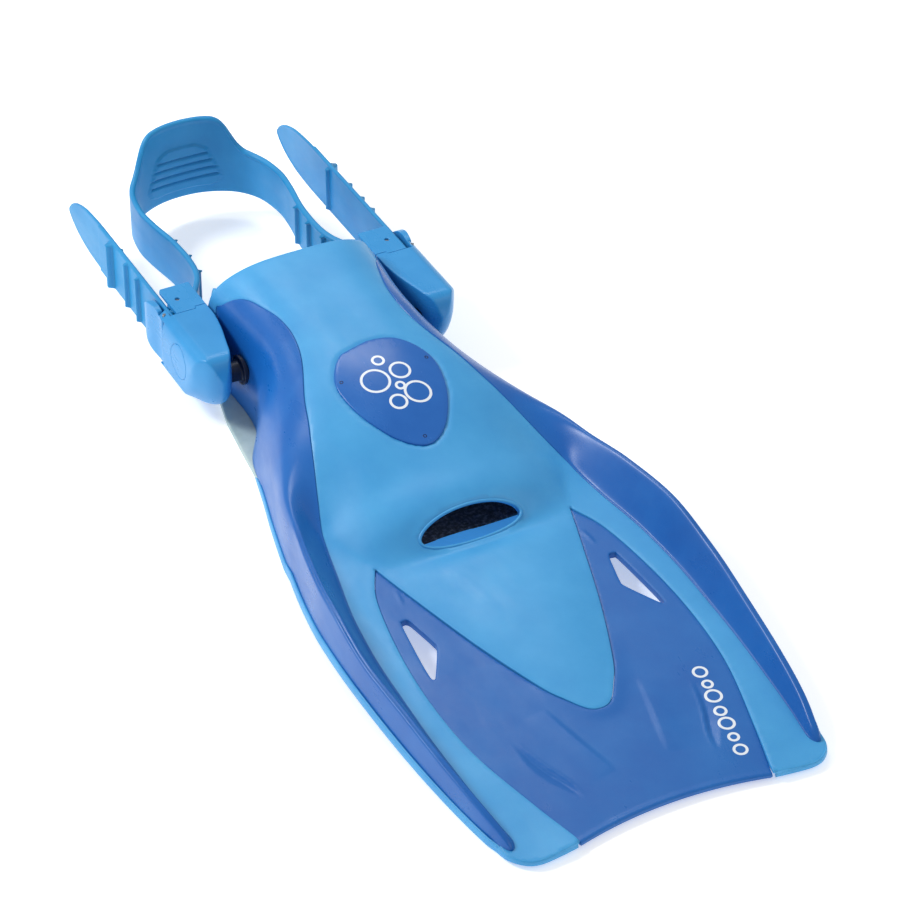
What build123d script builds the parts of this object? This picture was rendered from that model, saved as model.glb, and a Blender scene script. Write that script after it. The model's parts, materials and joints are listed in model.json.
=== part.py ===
from build123d import *
import math
import os

# Open-heel swim fin with an adjustable heel strap, in millimetres.
# +Y runs from the blade tip to the heel, +X to one side, +Z up.
# The shapes are laid out from a working origin under the toe end of the foot pocket; finish()
# moves each piece so that the written origin lies under the middle of the fin's length, in the
# plane that the sole rests on. "left" is the -X side. Every left piece has a mirrored right one.

os.makedirs("parts", exist_ok=True)

# ---- Driving dimensions ----------------------------------------------------------------
TALL = 120.0                # taller than anything that a plan outline has to cut
WIDE = 130.0                # wider than half of the fin
FAR_Y = 320.0               # behind the foot pocket
ORIGIN_Y = 107.5            # from the working origin to the written one

SEAM_Y = 50.0               # where the side rails meet the side panels of the foot pocket
TIP_Y = -213.0              # rearmost line of the blade's trailing edge
TIP_WEB_Z = 4.3             # top of the blade web at the tip
WEB_SLOPE = 0.071           # rise of the web per millimetre towards the foot
WEB_THICK = 4.3
WEB_END_Y = 58.0

SOLE_THICK = 4.0
SOLE_END_Y = 265.0
FOOTBED_THICK = 2.0
FOOTBED_END_Y = 253.0
FOOTBED_HIGH_Z = 10.0       # its turned-up edge ends here
SINK_EXTRA = 0.5            # takes the footbed down to the sole plate everywhere
LINING_THICK = 2.6
POCKET_FRONT_Y = 24.0       # toe end of the foot cavity

TRIM_THICK = 1.8
TRIM_HEIGHT = 7.0
TRIM_OUTER_HEIGHT = 4.9
TRIM_ROOT = 0.8             # how far the trim starts inside the rail's outer edge
TRIM_TOP_ROOT = 1.0
TRIM_LOW_Z = 0.1
TRIM_START_Y = 150.0

VENT_CORNER_R = 1.5
TOE_HOLE_WIDTH = 60.0
TOE_HOLE_HEIGHT = 24.0
TOE_HOLE_CENTRE = (0.0, 18.5, 29.0)
TOE_HOLE_NORMAL = (0.0, -0.745, 0.667)
TOE_HOLE_REACH = 16.0

BADGE_THICK = 1.6
BADGE_SINK = 1.0            # depth of the badge's pocket in the instep
BADGE_PIN_R = 1.3
BADGE_CUT_LOW_Z = 30.0      # below the badge, above the footbed
BADGE_PIN_LOW_Z, BADGE_PIN_HIGH_Z = 40.0, 80.0

STRAP_THICK = 2.8
STRAP_LOW_Z = 15.6
STRAP_HIGH_Z = 49.4
RIB_HEIGHT = 1.8
RIB_WIDTH = 2.4
STOP_RIB_HEIGHT = 3.0
STOP_RIB_WIDTH = 4.5
PAD_HIGH_Z = 70.0
PAD_CROWN = 1.0             # how far the pad's top edge bows up at its middle
SHOULDER_Z = 46.5           # top of the loop beside the pad
STRAP_REACH = 63.0          # wider than half of the heel loop
RIB_INSET = 2.0

BUCKLE_LOW_Z = 12.5
BUCKLE_HIGH_Z = 52.5
BUCKLE_INNER_X = 55.0
BUCKLE_TOP_X = 76.5         # outer edge of the buckle's flat top
BUCKLE_OUTER_X = 84.5
ARM_FLANK_LEAN = 1.0        # the flank starts this much further out at its lower edge
ARM_BULGE_Z = 34.0          # height of the flank's widest line
ARM_REAR_Y = 251.5
ARM_SLOT_FRONT_Y = 222.0    # the arm's slot takes the frame's hook
ARM_SLOT_INNER_X = 61.8
ARM_SLOT_OUTER_X = 78.4
HOOK_FRONT_Y = 224.0
HOOK_REAR_Y = 247.4
HOOK_INNER_X = 62.1
HOOK_OUTER_X = 73.9
SEAM_JOG_X = 62.0
FRAME_OUTER_X = 74.3
FRAME_FRONT_Y = 244.2
FRAME_REAR_Y = 271.0
SEAM_JOG = 2.2
PLATE_THICK = 2.7
FRAME_CORNER_R = 1.5
PART_GAP = 0.3              # daylight between pieces that move past each other
SEAM_GAP = 0.2

ROLLER_X, ROLLER_Y = 68.0, 257.6
ROLLER_R = 6.2
ROLLER_PIN_R = 1.5
PIN_SINK = 1.0              # how far the roller pin's ends sit below the plates' faces
STRAP_BEND_R = 6.5          # inner radius of the strap's turn round the roller

SWIVEL_Y, SWIVEL_Z = 203.0, 32.0
SWIVEL_R = 6.0
SWIVEL_FLANGE_R = 9.0
SWIVEL_DEPTH = 11.0         # how far the swivel post reaches into the buckle
SWIVEL_BORE_EXTRA = 1.0     # the bore goes this much deeper than the post
SWIVEL_ROOT_X = 50.8        # inside the wall of the foot pocket
BUCKLE_SWEEP_R = 22.0       # clear space that the buckle's nose turns in
RUNNING_GAP = 0.05
PRESS_GAP = 0.02

BUTTON_Y, BUTTON_Z = 221.0, 36.0
BUTTON_R = 10.5
BUTTON_TRAVEL = 1.8
BUTTON_BACK_X = 81.6

LEVER_PIN_X, LEVER_PIN_Y = 80.5, 248.5
LEVER_PIN_R = 1.0
LEVER_PIN_LOW_Z, LEVER_PIN_HIGH_Z = 14.0, 51.0
LEVER_KNUCKLE_R = 2.2
LEVER_REAR_Y = 277.0
LEVER_INNER_X = 79.4
LEVER_OUTER_X = 83.6
LEVER_KNUCKLE_LOW_Z, LEVER_KNUCKLE_HIGH_Z = 17.0, 48.0
PAWL_Y = 268.0
PAWL_ROOT, PAWL_REACH, PAWL_WIDTH = 0.5, 1.8, 3.0
PAWL_LOW_Z, PAWL_HIGH_Z = 22.0, 44.0

TAIL_FRONT_Y = 233.0
LEFT_TAIL_END_Y = 405.0
RIGHT_TAIL_END_Y = 428.0
TAIL_TAPER = 55.0           # length of the rounded end of a strap tail
TAIL_UPPER_TURN = (14.0, 6.0)       # back from the tip, in from the upper edge
TAIL_LOWER_TURN = (16.0, 5.0)       # back from the tip, in from the lower edge
TAIL_TIP_DROP = 1.0

# ---- Stations: one row for each cross-section -------------------------------------------
# Outside of the foot pocket: y, then base, wall, shoulder and crown points, then the top.
POCKET_STATIONS = [
    (262, (54, 0), (53.5, 30), (50, 58), (32, 76), 80),
    (236, (53.5, 0), (52.5, 30), (49, 61), (31, 76), 79),
    (205, (52.5, 0), (51.5, 32), (45.5, 61), (27, 74.5), 76.5),
    (182, (53, 0), (51.5, 33), (44, 62), (25, 73), 74.5),
    (155, (69, 0), (60.5, 34), (46, 60), (25, 69.5), 71),
    (125, (76, 0), (69.5, 36), (50, 57), (27, 64.5), 66),
    (95, (84, 0), (79.5, 37), (59, 48), (31, 56.5), 59),
    (70, (90, 0), (87.5, 38), (68, 36), (36, 47), 50.5),
    (50, (94.5, 0), (91.5, 38), (75, 26), (42, 39), 45),
]
# Inside of the foot pocket, laid out the same way.
CAVITY_STATIONS = [
    (275, (46, 6), (48, 30), (45, 54), (30, 71), 75),
    (236, (46, 6), (47.5, 30), (44, 57), (28, 71), 74.5),
    (200, (47, 6), (47.5, 30), (40, 56), (23, 69.5), 72),
    (155, (49, 6), (50, 30), (40, 55), (21, 64.5), 66.5),
    (125, (49, 6), (50, 30), (42, 50.5), (23, 59), 61),
    (95, (47, 6), (48, 28), (40, 44.5), (24, 52), 54),
    (70, (43, 7), (44, 25), (36, 36.5), (20, 43.5), 45.5),
    (45, (37, 8), (38, 20), (30, 30), (17, 36.5), 38),
    (POCKET_FRONT_Y, (29, 9), (30, 16), (24, 22), (13, 27), 28),
]
# Toe box in front of the seam, laid out the same way.
TOE_STATIONS = [
    (50, (75, 0), (75, 26), (58, 33.5), (32, 41.5), 45),
    (34, (67, 3), (67, 22.5), (50, 30), (26, 39), 42),
    (20, (62, 6), (62, 21), (42, 25.5), (20, 30.5), 32),
    (8, (59, 9), (59, 21), (40, 21.5), (20, 21.5), 21.5),
    (-4, (54.5, 11), (54.5, 22.4), (36, 22.7), (18, 22.9), 23),
]
# Side rails: y, inner edge x, crest x, crest z, outer edge x, underside z.
RAIL_STATIONS = [
    (50, 75, 91.5, 38, 94.5, 0),
    (20, 80.5, 98.5, 39, 100.5, 4),
    (-20, 88, 104.5, 38.5, 106.5, 7.5),
    (-60, 91, 106, 32, 108.3, 8.5),
    (-105, 91.3, 103, 26.5, 105.5, 4.5),
    (-145, 90, 99.6, 21, 101.5, 1.8),
    (-178, 88, 95.3, 15.5, 97, 0.3),
    (-197, 86, 91.5, 9.5, 94, 0.1),
    (-204, 87, 91, 6.5, 92, 0.1),
]
RAIL_CREST_WIDTH = 3.2
RAIL_CREST_FALL = 0.6       # from the crest line to the inner edge of the crest
RAIL_STEP = 0.4             # the rail's inner edge stands this far above the web
RAIL_FOOT_WIDTH = 7.0

# ---- Plan outlines, drawn for the +X side and mirrored ---------------------------------
PANEL_EDGE = [(60, 15), (70, -8), (77, -50), (79, -90), (76, -130), (66, -173), (56, -210)]
TRAILING_HOLLOW = 7.0       # how far the trailing edge is hollowed at its middle
TONGUE_EDGE = [(60, 15), (53, -10), (38, -60), (22.5, -102), (13.5, -118), (0, -130)]
PATCH_EDGE = [(56, 240), (46, 228), (39, 207), (34, 190), (33, 176), (35, 160),
              (48, 127), (58, 97), (66, 72), (75, 50)]
VENT_CORNERS = [(66, -27), (61, -26), (56.3, -50), (57.5, -55), (70.5, -75)]
BADGE_EDGE = [(0, 147), (16, 144), (27, 133), (31, 119), (27, 98), (15, 77), (0, 68)]
SOLE_EDGE = [(56, 250), (61, 223), (66, 198), (71, 168), (72.5, 150), (75.5, 125),
             (83.5, 95), (89.5, 70), (94, 50)]
BADGE_PIN_PLACES = [(-27, 125), (27, 125), (0, 74)]

# Nose of the buckle arm: in side view, as (y, z), and in plan at several heights, from its inner
# side to its outer side, as (x, y).
ARM_NOSE_SIDE = [(198, BUCKLE_HIGH_Z), (189.5, 48), (186.5, 38), (186.5, 30)]
ARM_NOSE_PLANS = [
    (BUCKLE_LOW_Z, [(57, 228), (59.5, 217), (62.5, 207.5), (66.5, 203.5), (72, 206), (77, 215)], 234),
    (20.0, [(57.2, 222), (60, 210), (63.5, 198.5), (68, 193.5), (74, 195.5), (79.5, 204)], 218),
    (34.0, [(57.2, 218), (60.6, 203), (64.2, 191.5), (69.5, 187.3), (76, 190), (81.5, 198)], 208),
    (BUCKLE_HIGH_Z, [(57.2, 218), (60.8, 203), (64.5, 192), (69.5, 188), (75, 190), (80.5, 197)], 207),
]
ARM_TAPER_Y = 238.0         # the arm's inner side is straight behind this line

# Ratchet lever: its back in plan, as (x, y), and its outline in side view, as (y, z).
LEVER_BACK = [(LEVER_INNER_X, LEVER_REAR_Y), (82.6, 273), (LEVER_OUTER_X, 264), (82.7, LEVER_PIN_Y)]
LEVER_SHELL_Y = 253.0
LEVER_HEEL = [(254, 50), (266, 49.8), (275, 42), (LEVER_REAR_Y, 33.5), (273, 24), (263, 18.5),
              (LEVER_SHELL_Y, LEVER_KNUCKLE_LOW_Z)]

# Side view of the foot opening's slanted rim, as (y, z).
RIM_EDGE = [(236, TALL), (236, 79), (248, 57), (253, 38), (254, SOLE_THICK)]

# Centre line of the heel loop from the buckle to the middle of the heel.
LOOP_ROUTE = [(60, 260), (53, 269), (45, 283), (42, 299), (42.5, 322), (46, 346),
              (47, 364), (43, 384), (33, 398), (17, 406.5), (0, 409)]
LOOP_RIB_PLACES = [(43.4, 290), (42.0, 307), (42.8, 325)]
# Half of the rising top edge beside the pad, as (x, z).
PAD_RISE = [(STRAP_REACH, SHOULDER_Z), (42, SHOULDER_Z), (36, 51), (30, 62), (22, PAD_HIGH_Z)]
LEFT_TAIL_RIBS_Y = [311, 294]
LEFT_STOP_RIB_Y = 335.0
TAIL_SHIFT = 18.0           # the right tail is pulled through further than the left


# ---- Helpers ---------------------------------------------------------------------------
def finish(piece, label):
    """Move a piece to the written origin, label it and write it."""
    placed = piece.part.moved(Location((0, -ORIGIN_Y, 0)))
    placed.label = label
    export_step(placed, f"parts/{label}.step")


def finish_pair(left, label):
    """Write a left piece and its mirror image."""
    finish(left, f"left_{label}")
    with BuildPart() as right:
        mirror(left.part, about=Plane.YZ)
    finish(right, f"right_{label}")


def web_top(y):
    """Height of the blade web's upper face."""
    return TIP_WEB_Z + WEB_SLOPE * (y - TIP_Y)


def arch_section(y, base, wall, shoulder, crown, top, grow=0.0, sink=0.0):
    """Closed cross-section of the foot pocket, grown outwards by `grow`."""
    leans = [(1, 0), (0.8, 0.6), (0.35, 0.94)]
    points = (wall, shoulder, crown)
    side = [(x + grow * dx, z + grow * dz) for (x, z), (dx, dz) in zip(points, leans)]
    foot = (base[0] + grow, base[1] - sink)
    arch = side + [(0, top + grow)] + [(-x, z) for x, z in reversed(side)]
    with BuildSketch(Plane.XZ.offset(-y)) as section:
        with BuildLine():
            Spline(*arch)
            Polyline(arch[-1], (-foot[0], foot[1]), foot, arch[0])
        make_face()
    return section.sketch


def pocket_loft(stations, grow=0.0, sink=0.0):
    """Loft through a list of arch stations, in the active part."""
    loft([arch_section(*station, grow=grow, sink=sink) for station in stations])


def flipped(points):
    """The same points on the other side of the fin."""
    return [(-x, y) for x, y in points]


def mirrored_outline(edge, *closing):
    """Plan outline from an edge on +X, its mirror image and the lines that close it."""
    with BuildSketch() as outline:
        with BuildLine():
            Spline(*edge)
            Spline(*flipped(edge))
            for line in closing:
                Polyline(*line)
        make_face()
    return outline.sketch


def panel_outline():
    """The dark V-shaped blade panel with its hollowed trailing edge."""
    x, y = PANEL_EDGE[-1]
    with BuildSketch() as outline:
        with BuildLine():
            Spline(*PANEL_EDGE)
            Spline(*flipped(PANEL_EDGE))
            ThreePointArc((-x, y), (0, y + TRAILING_HOLLOW), (x, y))
            Line(flipped(PANEL_EDGE)[0], PANEL_EDGE[0])
        make_face()
    return outline.sketch


def tongue_outline():
    """The rubber tongue that runs out from the toe box onto the blade."""
    whole = TONGUE_EDGE + flipped(reversed(TONGUE_EDGE[:-1]))
    with BuildSketch() as outline:
        with BuildLine():
            Spline(*whole)
            Line(whole[-1], whole[0])
        make_face()
    return outline.sketch


def patch_outline():
    """The rubber instep between the two dark side panels, wrapping round the rim."""
    x, y = PATCH_EDGE[0]
    rear = [(x, y), (WIDE, y), (WIDE, FAR_Y), (-WIDE, FAR_Y), (-WIDE, y), (-x, y)]
    front = [flipped(PATCH_EDGE)[-1], PATCH_EDGE[-1]]
    return mirrored_outline(PATCH_EDGE, rear, front)


def plan_prism(outline, mode, low=-1.0, high=TALL):
    """Extrude a plan outline between two heights, in the active part."""
    extrude(outline.moved(Location((0, 0, low))), amount=high - low, mode=mode)


def side_prism(corners, mode, half_width=WIDE):
    """Extrude a side-view outline, given as (y, z) corners, across the fin."""
    with BuildSketch(Plane.YZ) as outline:
        with BuildLine():
            Polyline(*corners, close=True)
        make_face()
    extrude(outline.sketch, amount=half_width, both=True, mode=mode)


def box_between(low, high, mode=Mode.ADD):
    """A box from its two corners."""
    size = [b - a for a, b in zip(low, high)]
    with Locations(tuple((a + b) / 2 for a, b in zip(low, high))):
        Box(*size, mode=mode)


def upright(x, y, radius, low, high, mode=Mode.ADD):
    """A cylinder that stands on Z."""
    with Locations((x, y, (low + high) / 2)):
        Cylinder(radius, high - low, mode=mode)


def crosswise(y, z, radius, low_x, high_x, mode=Mode.ADD):
    """A cylinder that lies along X."""
    with Locations(Location(((low_x + high_x) / 2, y, z), (0, 90, 0))):
        Cylinder(radius, high_x - low_x, mode=mode)


def rim_cut():
    """Cut the foot opening back along its slanted rim."""
    side_prism(RIM_EDGE + [(FAR_Y, SOLE_THICK), (FAR_Y, TALL)], Mode.SUBTRACT)


def sole_cut():
    """Cut away everything in the space of the sole plate."""
    side_prism([(0, -1), (0, SOLE_THICK), (FAR_Y, SOLE_THICK), (FAR_Y, -1)], Mode.SUBTRACT)


def web_slab():
    """The tapering sheet that the blade's middle is made from."""
    corners = [
        (TIP_Y, web_top(TIP_Y) - WEB_THICK),
        (WEB_END_Y, web_top(WEB_END_Y) - WEB_THICK),
        (WEB_END_Y, web_top(WEB_END_Y)),
        (TIP_Y, web_top(TIP_Y)),
    ]
    side_prism(corners, Mode.ADD)


# Side view of the tongue, as (y, z): it stands proud of the web and runs out at its tip.
TONGUE_PROFILE = [(15, 22), (-4, 23), (-40, 22.4), (-83, 18.2), (-105, 15), (-121, 11.8), (-133, 8),
                  (-133, web_top(-133) - WEB_THICK), (15, web_top(15) - WEB_THICK)]


# ---- Bodies that the fin's pieces are cut from ------------------------------------------
with BuildPart() as pocket_outside:
    pocket_loft(POCKET_STATIONS)

with BuildPart() as pocket_lining:
    pocket_loft(CAVITY_STATIONS, grow=LINING_THICK, sink=FOOTBED_THICK)

with BuildPart() as cavity:
    pocket_loft(CAVITY_STATIONS)

with BuildPart() as cavity_and_footbed:
    pocket_loft(CAVITY_STATIONS, sink=FOOTBED_THICK + SINK_EXTRA)

with BuildPart() as toe_box:
    pocket_loft(TOE_STATIONS)

with BuildPart() as rail_solid:
    for y, inner_x, crest_x, crest_z, outer_x, low_z in RAIL_STATIONS:
        foot_z = web_top(y)
        with BuildSketch(Plane.XZ.offset(-y)):
            with BuildLine():
                Polyline(
                    (inner_x, max(foot_z - WEB_THICK, low_z)),
                    (inner_x, foot_z + RAIL_STEP),
                    (crest_x - min(RAIL_CREST_WIDTH, (crest_x - inner_x) / 2), crest_z - RAIL_CREST_FALL),
                    (crest_x, crest_z),
                    (outer_x, low_z),
                    (outer_x - min(RAIL_FOOT_WIDTH, (outer_x - inner_x) / 2), low_z),
                    close=True,
                )
            make_face()
    loft()

with BuildPart() as toe_hole:
    with BuildSketch(Plane(TOE_HOLE_CENTRE, x_dir=(1, 0, 0), z_dir=TOE_HOLE_NORMAL)):
        Ellipse(TOE_HOLE_WIDTH / 2, TOE_HOLE_HEIGHT / 2)
    extrude(amount=TOE_HOLE_REACH, both=True)


# ---- Blade -----------------------------------------------------------------------------
with BuildPart() as blade_panel:
    web_slab()
    plan_prism(panel_outline(), Mode.INTERSECT)
    plan_prism(tongue_outline(), Mode.SUBTRACT)
    with BuildSketch() as vents:
        with BuildLine():
            Polyline(*VENT_CORNERS, close=True)
        make_face()
        fillet(vents.vertices(), VENT_CORNER_R)
        mirror(about=Plane.YZ)
    extrude(amount=TALL, mode=Mode.SUBTRACT)
    extrude(vents.sketch, amount=-1, mode=Mode.SUBTRACT)
    add(toe_box.part, mode=Mode.SUBTRACT)
finish(blade_panel, "blade_panel")


def band_outline():
    """Left half of the blade outside the panel, out to the rounded tip corner."""
    edge = flipped(PANEL_EDGE)
    corner = [(-78, TIP_Y), (-90, -208), (-94.5, -196)]
    rear = [corner[-1], (-93, -178), (-97, -145), (-99, -105), (-101, -60), (-98, -20), (-90, 20), (-84, 50),
            (-60, 50), edge[0]]
    with BuildSketch() as outline:
        with BuildLine():
            Spline(*edge)
            Line(edge[-1], corner[0])
            ThreePointArc(*corner)
            Polyline(*rear)
        make_face()
    return outline.sketch


with BuildPart() as flex_band:
    web_slab()
    plan_prism(band_outline(), Mode.INTERSECT)
    add(mirror(rail_solid.part, about=Plane.YZ, mode=Mode.PRIVATE), mode=Mode.SUBTRACT)
    add(toe_box.part, mode=Mode.SUBTRACT)
finish_pair(flex_band, "flex_band")

with BuildPart() as side_rail:
    mirror(rail_solid.part, about=Plane.YZ)
finish_pair(side_rail, "side_rail")

with BuildPart() as rail_trim:
    edge = [(TRIM_START_Y, 71.3, 0), (125, 76, 0), (105, 81.6, 0), (82, 88.3, 0), (66, 91.6, 0)]
    edge += [(y, outer_x, low_z) for y, _, _, _, outer_x, low_z in RAIL_STATIONS[:-1]]
    for y, x, z in edge:
        with BuildSketch(Plane.XZ.offset(-y)):
            with BuildLine():
                Polyline(
                    (-x + TRIM_ROOT, z), (-x - TRIM_THICK, z), (-x - TRIM_THICK, z + TRIM_OUTER_HEIGHT),
                    (-x + TRIM_TOP_ROOT, z + TRIM_HEIGHT), close=True,
                )
            make_face()
    loft()
    add(side_rail.part, mode=Mode.SUBTRACT)
    add(flex_band.part, mode=Mode.SUBTRACT)
    add(pocket_outside.part, mode=Mode.SUBTRACT)
    box_between((-WIDE, TIP_Y, -TRIM_HEIGHT), (0, TRIM_START_Y, TRIM_LOW_Z), Mode.SUBTRACT)


# ---- Foot pocket -----------------------------------------------------------------------
def sole_outline():
    """The sole plate, wider than the pocket beside the buckles."""
    rear = [SOLE_EDGE[0], (44, SOLE_END_Y), (-44, SOLE_END_Y), flipped(SOLE_EDGE)[0]]
    front = [flipped(SOLE_EDGE)[-1], SOLE_EDGE[-1]]
    return mirrored_outline(SOLE_EDGE, rear, front)


with BuildPart() as sole_plate:
    plan_prism(sole_outline(), Mode.ADD, low=0, high=SOLE_THICK)
finish(sole_plate, "sole_plate")

with BuildPart() as trimmed:
    add(rail_trim.part)
    add(sole_plate.part, mode=Mode.SUBTRACT)
finish_pair(trimmed, "rail_trim")

with BuildPart() as footbed:
    add(cavity_and_footbed.part)
    add(cavity.part, mode=Mode.SUBTRACT)
    box_between((-WIDE, 0, FOOTBED_HIGH_Z), (WIDE, FAR_Y, TALL), Mode.SUBTRACT)
    box_between((-WIDE, FOOTBED_END_Y, -1), (WIDE, FAR_Y, TALL), Mode.SUBTRACT)
    sole_cut()
finish(footbed, "footbed")


def badge_outline():
    """Pick-shaped badge on the instep."""
    whole = BADGE_EDGE + flipped(reversed(BADGE_EDGE[1:-1]))
    with BuildSketch() as outline:
        with BuildLine():
            Spline(*whole, periodic=True)
        make_face()
    return outline.sketch


with BuildPart() as sunk_instep:
    pocket_loft(POCKET_STATIONS, grow=-BADGE_SINK)

with BuildPart() as badge_blank:
    pocket_loft(POCKET_STATIONS, grow=BADGE_THICK - BADGE_SINK)
    plan_prism(badge_outline(), Mode.INTERSECT, low=BADGE_CUT_LOW_Z)
    add(sunk_instep.part, mode=Mode.SUBTRACT)

with BuildPart() as badge_pins:
    for x, y in BADGE_PIN_PLACES:
        upright(x, y, BADGE_PIN_R, BADGE_PIN_LOW_Z, BADGE_PIN_HIGH_Z)
    add(badge_blank.part, mode=Mode.INTERSECT)
finish(badge_pins, "badge_pins")

with BuildPart() as instep_badge:
    add(badge_blank.part)
    add(badge_pins.part, mode=Mode.SUBTRACT)
finish(instep_badge, "instep_badge")

with BuildPart() as tongue:
    side_prism(TONGUE_PROFILE, Mode.ADD)
    plan_prism(tongue_outline(), Mode.INTERSECT)

with BuildPart() as foot_pocket:
    add(pocket_outside.part)
    plan_prism(patch_outline(), Mode.INTERSECT)
    add(pocket_lining.part)
    rim_cut()
    sole_cut()
    box_between((-WIDE, TIP_Y, -1), (WIDE, SEAM_Y, TALL), Mode.SUBTRACT)
    add(toe_box.part)
    add(tongue.part)
    add(cavity_and_footbed.part, mode=Mode.SUBTRACT)
    for low_x, high_x in ((-WIDE, -BUCKLE_INNER_X + PART_GAP), (BUCKLE_INNER_X - PART_GAP, WIDE)):
        box_between((low_x, SWIVEL_Y, 0), (high_x, FAR_Y, TALL), Mode.SUBTRACT)
    add(toe_hole.part, mode=Mode.SUBTRACT)
    add(badge_blank.part, mode=Mode.SUBTRACT)
finish(foot_pocket, "foot_pocket")

with BuildPart() as side_panel:
    add(pocket_outside.part)
    plan_prism(patch_outline(), Mode.SUBTRACT)
    add(pocket_lining.part, mode=Mode.SUBTRACT)
    add(cavity_and_footbed.part, mode=Mode.SUBTRACT)
    rim_cut()
    sole_cut()
    box_between((0, TIP_Y, -1), (WIDE, FAR_Y, TALL), Mode.SUBTRACT)
    buckle_side_x = -BUCKLE_INNER_X + PART_GAP
    crosswise(SWIVEL_Y, SWIVEL_Z, BUCKLE_SWEEP_R, -WIDE, buckle_side_x, Mode.SUBTRACT)
    box_between((-WIDE, SWIVEL_Y, SOLE_THICK), (buckle_side_x, FAR_Y, TALL), Mode.SUBTRACT)
finish_pair(side_panel, "side_panel")

with BuildPart() as swivel_post:
    crosswise(SWIVEL_Y, SWIVEL_Z, SWIVEL_FLANGE_R, -BUCKLE_INNER_X + PART_GAP, -SWIVEL_ROOT_X)
    crosswise(SWIVEL_Y, SWIVEL_Z, SWIVEL_R - RUNNING_GAP, -BUCKLE_INNER_X - SWIVEL_DEPTH, -SWIVEL_ROOT_X)
    add(side_panel.part, mode=Mode.SUBTRACT)
    add(foot_pocket.part, mode=Mode.SUBTRACT)
finish_pair(swivel_post, "swivel_post")


# ---- Buckle, left side -----------------------------------------------------------------
# The arm's outer form is what its side view, its end view and a loft of its plans have in common.
with BuildPart() as arm_block:
    with BuildSketch(Plane.YZ.offset(-WIDE)):
        with BuildLine():
            nose = Spline(*ARM_NOSE_SIDE, tangents=[(-1, 0), (0, -1)])
            Polyline(nose @ 1, (ARM_NOSE_SIDE[-1][0], BUCKLE_LOW_Z), (ARM_REAR_Y, BUCKLE_LOW_Z),
                     (ARM_REAR_Y, BUCKLE_HIGH_Z), nose @ 0)
        make_face()
    extrude(amount=WIDE)
    with BuildSketch(Plane.XZ.offset(-FAR_Y)):
        with BuildLine():
            high = (-BUCKLE_TOP_X, BUCKLE_HIGH_Z)
            low = (-BUCKLE_TOP_X - ARM_FLANK_LEAN, BUCKLE_LOW_Z)
            flank = Spline(high, (-BUCKLE_OUTER_X, ARM_BULGE_Z), low, tangents=[(-1, -0.25), (1, -0.25)])
            Polyline(flank @ 1, (-BUCKLE_INNER_X, BUCKLE_LOW_Z), (-BUCKLE_INNER_X, BUCKLE_HIGH_Z), flank @ 0)
        make_face()
    extrude(amount=FAR_Y, mode=Mode.INTERSECT)

with BuildPart() as arm_plan:
    for height, bow_points, flank_y in ARM_NOSE_PLANS:
        with BuildSketch(Plane.XY.offset(height)):
            with BuildLine():
                bow_ends = [(BUCKLE_INNER_X, ARM_TAPER_Y), (BUCKLE_OUTER_X, flank_y)]
                bow = Spline(*flipped([bow_ends[0], *bow_points, bow_ends[1]]), tangents=[(0, -1), (0, 1)])
                Polyline(bow @ 1, (-BUCKLE_OUTER_X, ARM_REAR_Y), (-BUCKLE_INNER_X, ARM_REAR_Y), bow @ 0)
            make_face()
    loft()

with BuildPart() as arm_form:
    add(arm_block.part)
    add(arm_plan.part, mode=Mode.INTERSECT)

with BuildPart() as buckle_arm:
    add(arm_form.part)
    seam_y = FRAME_FRONT_Y - SEAM_GAP
    lug_x = ARM_SLOT_OUTER_X - SEAM_GAP
    box_between((-SEAM_JOG_X, seam_y + SEAM_JOG, 0), (0, FAR_Y, TALL), Mode.SUBTRACT)
    box_between((-lug_x, seam_y, 0), (-SEAM_JOG_X, FAR_Y, TALL), Mode.SUBTRACT)
    knuckle_low = (-WIDE, seam_y, LEVER_KNUCKLE_LOW_Z - PART_GAP)
    knuckle_high = (0, FAR_Y, LEVER_KNUCKLE_HIGH_Z + PART_GAP)
    box_between(knuckle_low, knuckle_high, Mode.SUBTRACT)
    slot_low = (-ARM_SLOT_OUTER_X, ARM_SLOT_FRONT_Y, BUCKLE_LOW_Z + PLATE_THICK)
    slot_high = (-ARM_SLOT_INNER_X, FAR_Y, BUCKLE_HIGH_Z - PLATE_THICK)
    box_between(slot_low, slot_high, Mode.SUBTRACT)
    upright(-LEVER_PIN_X, LEVER_PIN_Y, LEVER_PIN_R, 0, LEVER_PIN_HIGH_Z + PART_GAP, Mode.SUBTRACT)
    bore_end_x = BUCKLE_INNER_X + SWIVEL_DEPTH + SWIVEL_BORE_EXTRA
    crosswise(SWIVEL_Y, SWIVEL_Z, SWIVEL_R, -bore_end_x, 0, Mode.SUBTRACT)
    button_bed_x = BUTTON_BACK_X - BUTTON_TRAVEL - PART_GAP
    crosswise(BUTTON_Y, BUTTON_Z, BUTTON_R + RUNNING_GAP, -WIDE, -button_bed_x, Mode.SUBTRACT)
finish_pair(buckle_arm, "buckle_arm")

with BuildPart() as release_button:
    add(arm_form.part)
    crosswise(BUTTON_Y, BUTTON_Z, BUTTON_R, -WIDE, -BUTTON_BACK_X, Mode.INTERSECT)
finish_pair(release_button, "release_button")

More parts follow.
